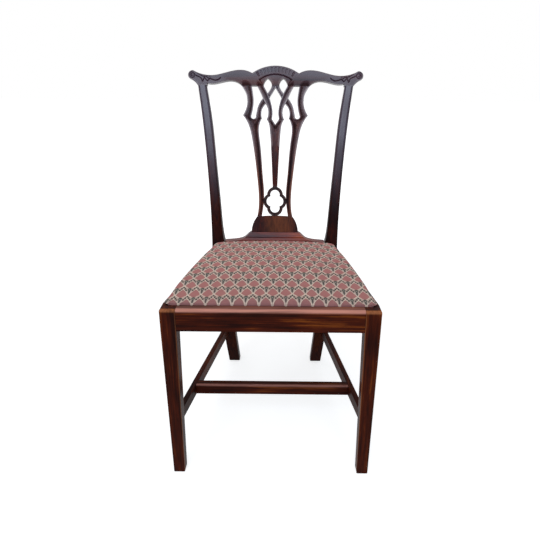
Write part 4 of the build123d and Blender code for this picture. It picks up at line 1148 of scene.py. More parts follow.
@dataclass
class CarvedPanel:
    """A flat piece of the back whose front is carved; lengths in mm."""

    plane: BackPlane
    loops: list[Loop]
    holes: list[Loop]
    front: Callable[[Array, Array], Array]
    back: float
    seams: list[Loop] = field(default_factory=list)
    rings: tuple[float, ...] = (0.5, 1.1, 1.9, 2.9, 4.1)
    ring_error: float = 0.06
    cell: float = 2.2
    cell_rise: float = 0.866
    cell_margin: float = 0.6
    edge_shares: tuple[float, ...] = (0.125, 0.375, 0.625, 0.875)
    back_chamfer: float = 1.2
    sharp: float = 50.0
    level: float = 0.0
    carve_span: Point = (0.6, 3.2)
    shade: Point = (0.72, 0.28)
    back_shade: float = 0.25
    seam: float = 472.0
    seam_half: float = 98.0
    seam_reach: float = 3.0
    no_edge: float = 9.0
    plain: float = -1000.0
    plain_fade: float = 22.0
    # lip and line values shape the painted highlight along the carved edges
    lip_reach: Point = (2.2, 2.6)
    lip_fade: Point = (-1.4, 0.4)
    lip_share: Point = (0.30, 0.30)
    line_fade: Point = (-2.6, -1.4)
    line_share: Point = (0.25, 0.15)
    lip_drop: float = 3.3

    def build(self, name: str, material: Material) -> Object:
        """Makes the panel.

        Args:
            name: the piece's name.
            material: its finish.

        Returns:
            The object.
        """
        rough_points, rough_triangles = self._fill([])
        samples, inward = self._edge_samples(rough_points, self._edges(rough_triangles))
        tree = KDTree(len(samples))
        for index, (x, y) in enumerate(samples):
            tree.insert((x, y, 0.0), index)
        tree.balance()
        points, triangles = self._fill(self._inner_points(samples, inward, tree))
        found = [tree.find((x, y, 0.0)) for x, y in points]
        gap = np.array([place[2] for place in found])
        outward = -inward[[place[1] for place in found], 0] * np.sign(points[:, 0])
        out = self.front(points, gap)
        behind = -self.back + np.maximum(self.back_chamfer - gap, 0.0)
        count = len(points)
        corners = np.vstack((self.plane.place(points, out), self.plane.place(points, behind)))
        faces = [tuple(face) for face in triangles]
        faces += [(c + count, b + count, a + count) for a, b, c in triangles]
        faces += [(b, a, a + count, b + count) for a, b in self._edges(triangles)]
        piece = make_piece(name, corners, faces, material, self.sharp)
        joined = np.abs(points[:, 1] - self.seam) < self.seam_reach
        joined &= np.abs(points[:, 0]) < self.seam_half
        below = smooth_step(self.plain - points[:, 1], 0.0, self.plain_fade)
        self._mark(piece.data, out, np.where(joined, self.no_edge, gap) + self.no_edge * below, outward)
        return piece

    def _mark(self, mesh: Mesh, out: Array, gap: Array, outward: Array) -> None:
        """Stores how deep each point is carved, with painted shade darker on walls that face the middle, and
        where the rubbed edges carry a painted highlight, stronger where they face out.

        Args:
            mesh: the panel, its front points first.
            out: height of each front point.
            gap: its distance from an edge.
            outward: 1 where that edge faces away from the middle of the chair, -1 where it faces it; it sets
                which side gets painted shade and which a painted highlight.
        """
        shallow, deep = self.carve_span
        # painted shade: deeper carving is darker, more so on walls that face the middle
        carve_and_shade = np.clip((self.level - shallow - out) / (deep - shallow), 0.0, 1.0)
        carve_and_shade = carve_and_shade * (self.shade[0] - self.shade[1] * outward)
        lit = np.maximum(outward, 0.0)
        reach, share, line_share = (least + more * lit for least, more in
                                    (self.lip_reach, self.lip_share, self.line_share))
        # painted highlight along the edges, stronger on edges that face out
        lip = smooth_step(reach - gap, *self.lip_fade) * share
        lip = (lip + smooth_step(-gap, *self.line_fade) * line_share) * (out > self.level - self.lip_drop)
        for label, front, back in zip(CARVING_LABELS, (carve_and_shade, lip), (self.back_shade, 0.0)):
            values = np.concatenate((front, np.full(len(out), back))).astype(np.float32)
            mesh.attributes.new(label, "FLOAT", "POINT").data.foreach_set("value", values)

    def _inside(self, points: Array) -> Array:
        """True for each point that lies in a loop and in no hole."""
        return inside_any(points, self.loops) & ~inside_any(points, self.holes)

    def _fill(self, extra: Sequence[Point]) -> tuple[Array, Array]:
        """Fills the loops with triangles.

        Args:
            extra: points to use inside the loops.

        Returns:
            The points, and three point numbers for each triangle.
        """
        places: list[Vector] = []
        edges: list[tuple[int, int]] = []
        for loop in self.loops + self.holes + self.seams:
            first = len(places)
            places += [Vector(point) for point in loop]
            edges += [(first + index, first + (index + 1) % len(loop)) for index in range(len(loop))]
        places += [Vector(point) for point in extra]
        found = delaunay_2d_cdt(places, edges, [], 0, SAME_POINT)
        points = np.array([tuple(vertex) for vertex in found[0]])
        triangles = np.array([tuple(face) for face in found[2]])
        triangles = triangles[self._inside(points[triangles].mean(axis=1))]
        used, numbers = np.unique(triangles, return_inverse=True)
        triangles = numbers.reshape(triangles.shape)
        points = points[used]
        first, second, third = (points[triangles[:, index]] for index in range(3))
        turn = np.cross(second - first, third - first)
        triangles[turn < 0] = triangles[turn < 0][:, ::-1]
        return points, triangles[turn != 0]

    def _edges(self, triangles: Array) -> Array:
        """Finds the outer edges.

        Args:
            triangles: three point numbers for each triangle.

        Returns:
            Two point numbers for each edge, with the panel on its left.
        """
        pairs = np.vstack((triangles[:, (0, 1)], triangles[:, (1, 2)], triangles[:, (2, 0)]))
        size = triangles.max() + 1
        lone = ~np.isin(pairs[:, 0] * size + pairs[:, 1], pairs[:, 1] * size + pairs[:, 0])
        return pairs[lone]

    def _edge_samples(self, points: Array, edges: Array) -> tuple[Array, Array]:
        """Samples the outer edges closely.

        Args:
            points: the panel's points.
            edges: two point numbers for each edge.

        Returns:
            The samples, and the way inwards at each.
        """
        start, end = points[edges[:, 0]], points[edges[:, 1]]
        run = end - start
        inward = np.column_stack((-run[:, 1], run[:, 0])) / np.hypot(*run.T)[:, None]
        samples = [start + share * run for share in self.edge_shares]
        return np.vstack(samples), np.vstack([inward] * len(samples))

    def _inner_points(self, samples: Array, inward: Array, tree: KDTree) -> Loop:
        """Chooses points in rows along the edges and on a grid between them.

        Args:
            samples: points on the edges.
            inward: the way inwards at each.
            tree: the samples, ready to search.

        Returns:
            The chosen points.
        """
        chosen: Loop = []
        every = len(samples) // len(self.edge_shares)
        for depth in self.rings:
            for point in samples[every:2 * every] + depth * inward[every:2 * every]:
                if abs(tree.find((*point, 0.0))[2] - depth) < self.ring_error:
                    chosen.append(tuple(point))
        low, high = samples.min(axis=0), samples.max(axis=0)
        rows = np.arange(low[1], high[1], self.cell_rise * self.cell)
        columns = np.arange(low[0], high[0], self.cell)
        grid = np.array([(x + (index % 2) * self.cell / 2, y)
                         for index, y in enumerate(rows) for x in columns])
        least = self.rings[-1] + self.cell_margin * self.cell
        return chosen + [tuple(point) for point in grid[self._inside(grid)]
                         if tree.find((*point, 0.0))[2] > least]


@dataclass(frozen=True)
class StrapSection:
    """Section of the splat's hollow straps; lengths in mm."""

    sunk: float = 1.0
    edge_drop: float = 0.7
    edge_reach: float = 0.9
    lip: float = 2.3
    reach: float = 7.0
    depth: float = 3.1

    def edge(self, gap: Array) -> Array:
        """Depth of the rounded edge at a distance from it."""
        return self.edge_drop * np.clip(1.0 - gap / self.edge_reach, 0.0, 1.0) ** 2

    def hollow(self, gap: Array) -> Array:
        """Depth of the hollow at a distance from the edge."""
        share = np.clip((gap - self.lip) / (self.reach - self.lip), 0.0, 1.0)
        return self.depth * np.sin(0.5 * math.pi * share)


@dataclass
class Splat:
    """Pierced splat of interlaced hollow straps over a quatrefoil and a solid base; lengths in mm.

    Rows of a strap give x and height of its outer edge, then of its inner edge, on the right half. Heights
    are measured down from the crest rail, and in stalk_low up from the shoe.
    """

    plane: BackPlane
    # polish kept high at the top paints the sheen; the carving gets painted shade and painted highlights
    finish: Mahogany = Mahogany(Grain.UPRIGHT, 31.0, 0.4, 1.4, carved=True, carve_shade_share=0.9,
                                polish=(0.16, 0.90), polish_span=(0.62, 0.90), lip_gloss=1.0,
                                rub_highlight_tone=(0.260, 0.105, 0.070))
    golden: Colour = (0.150, 0.046, 0.014)
    golden_place: Point = (14.0, 66.0)
    golden_reach: float = 62.0
    golden_share: float = 0.75
    length: float = 472.0
    foot: float = 44.77
    thickness: float = 11.0
    strap: StrapSection = StrapSection()
    step: float = 1.5
    stalk_low: Rows = ((53.3, 45.0, 40.0, 45.0), (48.3, 78.0, 34.6, 78.0), (48.2, 112.0, 32.6, 112.0),
                       (53.4, 171.0, 37.0, 171.0), (60.4, 229.0, 41.2, 229.0))
    stalk_high: Rows = ((67.1, 155.5, 45.7, 155.5), (75.0, 120.0, 48.3, 118.0), (94.6, 83.5, 39.6, 92.0))
    outer_branch: Rows = ((94.6, 83.5, 70.4, 84.0), (85.9, 66.5, 66.2, 66.5), (81.7, 43.0, 63.9, 44.0),
                          (84.0, 26.0, 65.6, 24.0), (98.2, 0.0, 69.4, 0.0), (102.0, -7.0, 71.0, -7.0))
    inner_branch: Rows = ((57.0, 85.0, 39.6, 92.0), (54.6, 73.0, 41.3, 79.0), (50.4, 57.0, 37.5, 62.5),
                          (41.2, 41.0, 29.4, 51.5), (23.2, 21.4, 16.2, 32.0), (10.7, 0.0, 0.0, 6.0))
    cross_strap: Rows = ((58.4, -7.0, 39.6, -7.0), (54.0, 0.0, 35.2, 0.0), (43.2, 20.5, 23.2, 21.4),
                         (30.3, 48.0, 13.2, 48.0), (22.2, 65.0, 9.2, 66.0), (21.1, 80.0, 8.5, 79.0),
                         (25.2, 95.0, 10.6, 94.0))
    block_height: float = 47.0
    block_crown: float = 50.0
    block_floor: float = 68.0
    floor_step: float = 2.0
    block_fade: Point = (2.0, 10.0)
    foil_rise: float = 93.0
    foil_half: float = 34.0
    foil_ring: float = 9.5
    foil_tall: Point = (20.05, 13.95)
    foil_wide: Point = (9.63, 15.37)
    foil_hollow: float = 0.45
    foil_drop: float = 0.9
    collar: tuple[float, ...] = (81.5, 89.2, 96.8, 104.5)
    collar_ends: Point = (28.0, 36.5)
    collar_cut: Point = (1.8, 1.3)
    stem_fade: Point = (6.0, 16.0)
    stem_cut: Point = (1.8, 3.6)
    fork_cut: Point = (2.4, 2.2)
    pocket_cut: Point = (1.8, 4.2)
    branch_cut: Point = (2.4, 2.3)
    joint_drop: float = 6.0
    joint_fade: float = 1.6
    crossing_drop: float = 47.0
    crossing_reach: float = 15.0
    crossing_under: float = 1.1
    crossing_over: float = 0.9
    covered_drop: float = 5.0
    over_back: float = 1.2
    plain_base: float = 61.0
    plain_stem: float = 262.0

    def up(self, x: float, rise: float) -> Point:
        """A point above the shoe."""
        return (x, self.foot + rise)

    def down(self, x: float, drop: float) -> Point:
        """A point below the crest rail."""
        return (x, self.length - drop)

    def hung(self, rows: Rows) -> StationList:
        """Pairs of edge points below the crest rail."""
        return [(self.down(*row[:2]), self.down(*row[2:])) for row in rows]

    def stalk(self) -> StationList:
        """Pairs of edge points of the right stalk."""
        stood = [(self.up(*row[:2]), self.up(*row[2:])) for row in self.stalk_low]
        return stood + self.hung(self.stalk_high)

    def stem_edge(self) -> Loop:
        """Right edge of the middle stem from its fork down."""
        up, down = self.up, self.down
        return [down(25.2, 95.0), down(18.4, 110.0), down(16.2, 123.5), down(13.2, 160.0), up(10.5, 217.0),
                up(8.2, 165.0), up(6.7, self.foil_rise + self.foil_half + self.foil_ring / 2)]

    def strap_loop(self, stations: StationList, closing: Sequence[Point] = ()) -> Loop:
        """Outline of one strap, with closing points between the ends of its edges."""
        outer, inner = (smooth_line(edge, self.step) for edge in zip(*stations))
        return outer + list(closing) + inner[::-1]

    def stalk_loop(self) -> Loop:
        """Outline of the right stalk with the round pocket between its branches."""
        start, end = self.down(*self.outer_branch[0][2:]), self.down(*self.inner_branch[0][:2])
        return self.strap_loop(self.stalk(), arc_line(start, self.down(61.2, 93.0), end, self.step))

    def stem_loop(self) -> Loop:
        """Draws the whole middle stem.

        Returns:
            Its outline.
        """
        right = smooth_line(self.stem_edge(), self.step)
        fork = [self.down(-10.6, 94.0), self.down(0.0, 110.0), self.down(10.6, 94.0)]
        return right + mirrored(right) + fork

    def foil_loops(self, grow: float) -> list[Loop]:
        """Draws the four round lobes of the quatrefoil.

        Args:
            grow: how much wider than the opening they are.

        Returns:
            A circle for each lobe.
        """
        middle = self.foot + self.foil_rise
        rise, tall = self.foil_tall
        reach, wide = self.foil_wide
        lobes = [(0.0, middle + rise, tall), (0.0, middle - rise, tall),
                 (reach, middle, wide), (-reach, middle, wide)]
        return [circle_line((x, y), radius + grow, self.step) for x, y, radius in lobes]

    def block_loop(self) -> Loop:
        """Draws the solid base.

        Returns:
            Its outline.
        """
        right = arc_line(self.up(69.5, 0.0), self.up(64.8, 27.0), self.up(53.0, self.block_height), self.step)
        left = mirrored(right)
        crown = arc_line(right[-1], self.up(0.0, self.block_crown), left[0], self.step)
        places = np.arange(-self.block_floor, self.block_floor + 0.5 * self.floor_step, self.floor_step)
        floor = [(x, left[-1][1]) for x in places]
        return right + crown[1:-1] + left + floor

    def over_loops(self) -> list[Loop]:
        """Outlines of what lies on top: the crossing straps and the stem."""
        cross = self.strap_loop(self.hung(self.cross_strap))
        return [cross, mirrored(cross), self.stem_loop()]

    def notches(self, points: Array, cuts: Sequence[tuple[Point, Point, float, float]]) -> Array:
        """Cuts short strokes on both sides of the middle.

        Args:
            points: points of the front.
            cuts: start, end, depth and width of each stroke.

        Returns:
            The depth at each point.
        """
        near = np.column_stack((np.abs(points[:, 0]), points[:, 1]))
        depth = np.zeros(len(points))
        for start, end, deep, width in cuts:
            depth = np.maximum(depth, gouge(near, [start, end], deep, width))
        return depth

    def hidden_end(self, points: Array) -> Array:
        """How far the ends of the straps stand back where the crest rail covers them."""
        return self.joint_drop * smooth_step(points[:, 1] - self.length, 0.0, self.joint_fade)

    def bridge(self, points: Array) -> Array:
        """1 where one strap crosses another, fading out along it."""
        drop = self.length - points[:, 1]
        return np.exp(-((drop - self.crossing_drop) / self.crossing_reach) ** 2) * (drop > 0.0)

    def under_front(self, points: Array, gap: Array) -> Array:
        """Carves the stalks, branches, quatrefoil and base.

        Args:
            points: points of the front.
            gap: distance of each from an edge.

        Returns:
            The height of each point.
        """
        up, down = self.up, self.down
        in_foil = inside_any(points, self.foil_loops(self.foil_ring))
        start, end = (self.block_height + reach for reach in self.block_fade)
        weight = np.where(in_foil, self.foil_hollow, smooth_step(points[:, 1] - self.foot, start, end))
        cuts = [(down(61.2, 96.0), down(60.0, 117.0), *self.pocket_cut),
                (down(90.5, 88.0), down(61.5, 98.5), *self.branch_cut),
                (down(43.0, 94.5), down(61.0, 98.5), *self.branch_cut)]
        first, last = self.collar_ends
        cuts += [(up(first, place), up(last, place), *self.collar_cut) for place in self.collar]
        height = -self.strap.edge(gap) - self.strap.hollow(gap) * weight - self.foil_drop * in_foil
        height = height - self.crossing_under * self.bridge(points) - self.notches(points, cuts)
        covered = inside_any(points, self.over_loops()) & ~in_foil
        height = np.where(covered, np.minimum(height, -self.covered_drop), height)
        return -self.strap.sunk + height - self.hidden_end(points)

    def over_front(self, points: Array, gap: Array) -> Array:
        """Carves the crossing straps and the stem.

        Args:
            points: points of the front.
            gap: distance of each from an edge.

        Returns:
            The height of each point.
        """
        rise = points[:, 1] - self.foot - self.foil_rise - self.foil_half
        cuts = [(self.down(0.0, 113.0), self.down(0.0, 128.0), *self.stem_cut),
                (self.down(22.0, 98.5), self.down(0.0, 113.5), *self.fork_cut)]
        height = -self.strap.edge(gap) - self.strap.hollow(gap) * smooth_step(rise, *self.stem_fade)
        height = height + self.crossing_over * self.bridge(points) - self.notches(points, cuts)
        return -self.strap.sunk + height - self.hidden_end(points)

    def wood(self) -> Mahogany:
        """Finish that is golden on the base and darker round the quatrefoil.

        Returns:
            The finish.
        """
        foil = self.up(0.0, self.foil_rise)
        flat = np.array([self.golden_place, self.golden_place, foil])
        places = self.plane.place(flat, np.array([0.0, self.thickness, 0.0]))
        start, end, oval = (tuple(place) for place in places.tolist())
        golden = WornHighlightEdge(start, end, self.golden_reach * MM, self.golden_share, self.golden)
        return replace(self.finish, worn_and_highlit=(golden,), oval=oval)

    def build(self) -> list[Object]:
        """Makes the two layers of the splat.

        Returns:
            The pieces, the lower layer first.
        """
        material = self.wood().material("mahogany_splat")
        stalk = self.stalk_loop()
        outer = self.strap_loop(self.hung(self.outer_branch))
        inner = self.strap_loop(self.hung(self.inner_branch), [self.down(0.0, 0.0)])
        loops = [loop for right in (stalk, outer, inner) for loop in (right, mirrored(right))]
        loops += [self.block_loop()] + self.foil_loops(self.foil_ring)
        depth = self.strap.sunk + self.thickness
        level = -self.strap.sunk
        under = CarvedPanel(self.plane, loops, self.foil_loops(0.0), self.under_front, depth,
                            seams=self.over_loops(), level=level, plain=self.foot + self.plain_base)
        over = CarvedPanel(self.plane, self.over_loops(), [], self.over_front, depth - self.over_back,
                           level=level, plain=self.foot + self.plain_stem)
        return [settle(under.build("splat_straps", material), CHAIR, "mahogany", "splat"),
                settle(over.build("splat_crossing_straps", material), CHAIR, "mahogany")]


@dataclass
class CrestRail:
    """Crest rail with scrolled ears, a fluted arch and the tops of two almond openings; lengths in mm."""

    plane: BackPlane
    # polish kept high at the top and toward the ends paints the bluish sheen; the carving gets painted shade
    finish: Mahogany = Mahogany(Grain.ACROSS, 37.0, 0.2, 0.9, carved=True, carve_shade_share=0.80,
                                polish=(0.36, 0.90), polish_span=(0.915, 0.950),
                                polish_reach=(0.115, 0.165))
    joint: float = 472.0
    thickness: float = 22.0
    step: float = 1.3
    cell: float = 1.0
    rings: tuple[float, ...] = (0.4, 0.9, 1.6, 2.4)
    back_chamfer: float = 2.0
    carve_span: Point = (0.5, 2.9)
    edge_round: float = 3.0
    under_round: float = 1.2
    joint_round: float = 0.3
    round_levels: Point = (22.0, 1.0)
    carve_fade: float = 2.0
    branch: float = 98.2
    branch_step: float = 1.5
    stile_outer: float = 225.0
    stile_inner: float = 198.5
    stile_points: int = 20
    arch_half: float = 67.5
    arch_foot: float = 34.5
    arch_rise: float = 55.5
    volute: Point = (239.5, 28.5)
    volute_radius: float = 13.0
    volute_arc: Place = (-40.0, 20.0, 100.0)
    ear_hollow: Point = (233.0, 9.5)
    ear_step: float = 6.0
    top: Points = ((0.845, 31.0), (0.663, 28.6), (0.415, 37.6), (0.22, 43.3))
    under: Points = ((0.115, 9.0), (0.28, 13.6), (0.475, 12.0), (0.83, 4.8))
    almond_left: Points = ((10.7, 0.0), (12.7, 10.0), (23.0, 21.0))
    almond_right: Points = ((23.0, 21.0), (32.1, 10.0), (35.2, 0.0))
    almond_low: float = -2.0
    flutes: int = 11
    fan: float = math.radians(56.0)
    flute_reach: Point = (4.0, 18.0)
    flute_half: float = 3.5
    flute_narrow: float = 0.55
    flute_depth: float = 0.75
    flute_foot: Point = (0.8, 1.6)
    flute_head: Point = (0.4, 2.6)
    end_flute: float = 1.4
    tympanum: Place = (31.0, 46.0, 16.0)
    tympanum_cut: Point = (2.6, 1.3)
    tympanum_step: float = 2.0
    tympanum_start: float = -1.0
    run: Points = ((40.0, 6.0), (35.6, -2.0))
    run_cut: Point = (1.5, 1.4)
    spiral_start: float = math.radians(70.0)
    spiral_first: float = 3.9
    spiral_pitch: float = 4.0
    spiral_end: Point = (-9.6, -8.8)
    spiral_cut: Point = (1.8, 0.7)
    spiral_eye: Point = (1.3, 4.0)
    chevron: Points = ((230.0, 27.0), (215.8, 20.6), (210.6, 10.0), (206.0, 21.9), (197.0, 11.5),
                       (188.0, 19.3))
    chevron_cut: Point = (2.3, 0.9)
    leaf: Points = ((227.7, 35.5), (212.0, 25.5), (198.7, 23.2), (190.8, 17.0))
    leaf_cut: Point = (1.9, 0.9)
    tendril: Points = ((190.0, 18.5), (183.0, 16.0), (170.0, 14.0), (164.0, 16.5), (158.5, 21.0))
    tendril_cut: Point = (2.3, 1.0)
    vein: Points = ((206.0, 28.5), (198.0, 26.5), (189.0, 25.0))
    vein_cut: Point = (1.6, 1.0)
    stroke_step: float = 1.5
    strap_feet: Rows = ((35.2, 0.63, 54.0, 0.63), (69.4, 0.23, 98.2, 0.54))
    strap_fade: float = 16.0
    strap_close: float = 0.5
    strap: StrapSection = StrapSection()
    strap_edge: Point = (-0.6, 0.4)

    def outline(self) -> Loop:
        """Draws the front outline above the joint.

        Returns:
            The outline, from the middle of the joint round to it again.
        """
        under, tip, over = [(self.volute[0] + self.volute_radius * math.cos(math.radians(turn)),
                             self.volute[1] + self.volute_radius * math.sin(math.radians(turn)))
                            for turn in self.volute_arc]
        foot = (self.arch_half, self.arch_foot)
        below = [(self.branch + (self.stile_inner - self.branch) * share, rise) for share, rise in self.under]
        above = [(foot[0] + (over[0] - foot[0]) * share, rise) for share, rise in self.top]
        half = [(x, 0.0) for x in np.arange(0.0, self.branch, self.branch_step)]
        half += smooth_line([(self.branch, 0.0), *below, (self.stile_inner, self.ear_step)], self.step)
        half += [(x, 0.0) for x in np.linspace(self.stile_inner, self.stile_outer, self.stile_points)]
        half += arc_line((self.stile_outer, 0.0), self.ear_hollow, under, self.step)[1:]
        half += arc_line(under, tip, over, self.step)[1:]
        half += smooth_line([over, *above, foot], self.step)[1:]
        arch = arc_line(foot, (0.0, self.arch_rise), (-foot[0], foot[1]), self.step)
        return half + arch[1:-1] + mirrored(half[1:])

    def almond(self) -> Loop:
        """Draws the part of the right almond opening that is cut in this rail.

        Returns:
            Its outline, down to a little below the joint.
        """
        left, right = (arc_line(*side, self.step) for side in (self.almond_left, self.almond_right))
        start, end = ((x, self.almond_low) for x, _ in (self.almond_left[0], self.almond_right[-1]))
        return [start] + left + right[1:] + [end]

    def strap_ends(self, near: Array) -> Array:
        """Runs the hollows of the splat's straps out upwards.

        Args:
            near: points of the front, folded to the right half.

        Returns:
            The height at each point.
        """
        rise = near[:, 1]
        depth = np.zeros(len(near))
        for left, left_lean, right, right_lean in self.strap_feet:
            gap = np.minimum(near[:, 0] - left - left_lean * rise, right + right_lean * rise - near[:, 0])
            gap = gap - self.strap_close * rise
            cut = (self.strap.sunk + self.strap.hollow(gap)) * smooth_step(gap, *self.strap_edge)
            depth = np.maximum(depth, cut)
        return -depth * smooth_step(-rise, -self.strap_fade, 0.0)

    def fluting(self, points: Array) -> Array:
        """Gouges the flutes, fanned under the arch's edge.

        Args:
            points: points of the front.

        Returns:
            The height at each point.
        """
        tall = self.arch_rise - self.arch_foot
        radius = (self.arch_half ** 2 + tall ** 2) / (2 * tall)
        rise = points[:, 1] - self.joint - self.arch_rise + radius
        reach = np.hypot(points[:, 0], rise)
        last = self.flutes // 2
        turn = np.arctan2(points[:, 0], rise) / self.fan * (self.flutes - 1)
        place = np.clip(np.round(turn), -last, last)
        side = (turn - place) * self.fan / (self.flutes - 1) * reach
        start, end = radius - self.flute_reach[1], radius - self.flute_reach[0]
        along = np.clip((reach - start) / (end - start), 0.0, 1.0)
        half = self.flute_half * (self.flute_narrow + (1.0 - self.flute_narrow) * along)
        inside = np.clip(1.0 - (side / half) ** 2, 0.0, 1.0)
        foot = smooth_step(reach, start - self.flute_foot[0], start + self.flute_foot[1])
        head = smooth_step(-reach, -end - self.flute_head[0], -end + self.flute_head[1])
        deep = 1.0 + self.end_flute * (np.abs(place) >= last)
        return -self.flute_depth * deep * np.sqrt(inside) * (foot * head)

    def sunk_arc(self, near: Array) -> Array:
        """Cuts the sunk line under the flutes and its run down along the crossing straps.

        Args:
            near: points of the front, folded to the right half.

        Returns:
            The height at each point.
        """
        rise, half, foot = self.tympanum
        line = arc_line((-half, foot), (0.0, rise), (half, foot), self.tympanum_step)
        line = [point for point in line if point[0] >= self.tympanum_start]
        run = [(half, foot), *self.run]
        return -gouge(near, line, *self.tympanum_cut) - gouge(near, run, *self.run_cut)

    def scroll(self, near: Array) -> Array:
        """Cuts the spiral line of the ears and raises its eye.

        Args:
            near: points of the front, folded to the right half.

        Returns:
            The height at each point.
        """
        offset = near - np.array(self.volute)
        reach = np.hypot(*offset.T)
        turn = np.arctan2(offset[:, 1], offset[:, 0])
        depth = np.zeros(len(near))
        cut, width = self.spiral_cut
        for lap in range(2):
            wound = np.mod(turn + self.spiral_start, 2 * math.pi) + 2 * math.pi * lap
            line = self.spiral_first + self.spiral_pitch * wound / (2 * math.pi)
            valid = smooth_step(-wound, *self.spiral_end)
            depth = np.maximum(depth, valid * np.exp(-((reach - line) / width) ** 2))
        tall, radius = self.spiral_eye
        return -cut * depth + tall * np.clip(1.0 - (reach / radius) ** 2, 0.0, 1.0)

    def leaves(self, near: Array) -> Array:
        """Cuts the chevrons and leaf strokes beside the ears.

        Args:
            near: points of the front, folded to the right half.

        Returns:
            The height at each point.
        """
        tendril, vein = (smooth_line(line, self.stroke_step) for line in (self.tendril, self.vein))
        strokes = [(self.chevron, self.chevron_cut), (self.leaf, self.leaf_cut),
                   (tendril, self.tendril_cut), (vein, self.vein_cut)]
        return -np.max([gouge(near, line, *cut) for line, cut in strokes], axis=0)

    def front(self, points: Array, gap: Array) -> Array:
        """Carves the rail and rounds its edges.

        Args:
            points: points of the front.
            gap: distance of each from an edge.

        Returns:
            The height of each point.
        """
        rise = points[:, 1] - self.joint
        near = np.column_stack((np.abs(points[:, 0]), rise))
        upper, lower = self.round_levels
        soft = np.where(rise > upper, self.edge_round, self.under_round)
        soft = np.where(rise < lower, self.joint_round, soft)
        carving = self.fluting(points) + self.sunk_arc(near) + self.scroll(near) + self.leaves(near)
        carving = carving * smooth_step(gap, 0.0, self.carve_fade)
        return -rounded_drop(soft, gap) + carving + self.strap_ends(near)

    def build(self) -> list[Object]:
        """Makes the rail.

        Returns:
            The rail alone.
        """
        outline, almond = ([(x, y + self.joint) for x, y in loop] for loop in (self.outline(), self.almond()))
        panel = CarvedPanel(self.plane, [outline], [almond, mirrored(almond)], self.front, self.thickness,
                            rings=self.rings, cell=self.cell, back_chamfer=self.back_chamfer,
                            carve_span=self.carve_span)
        piece = panel.build("crest_rail_carved", self.finish.material("mahogany_crest"))
        return [settle(piece, CHAIR, "mahogany", "crest_rail")]


# The lift-out seat


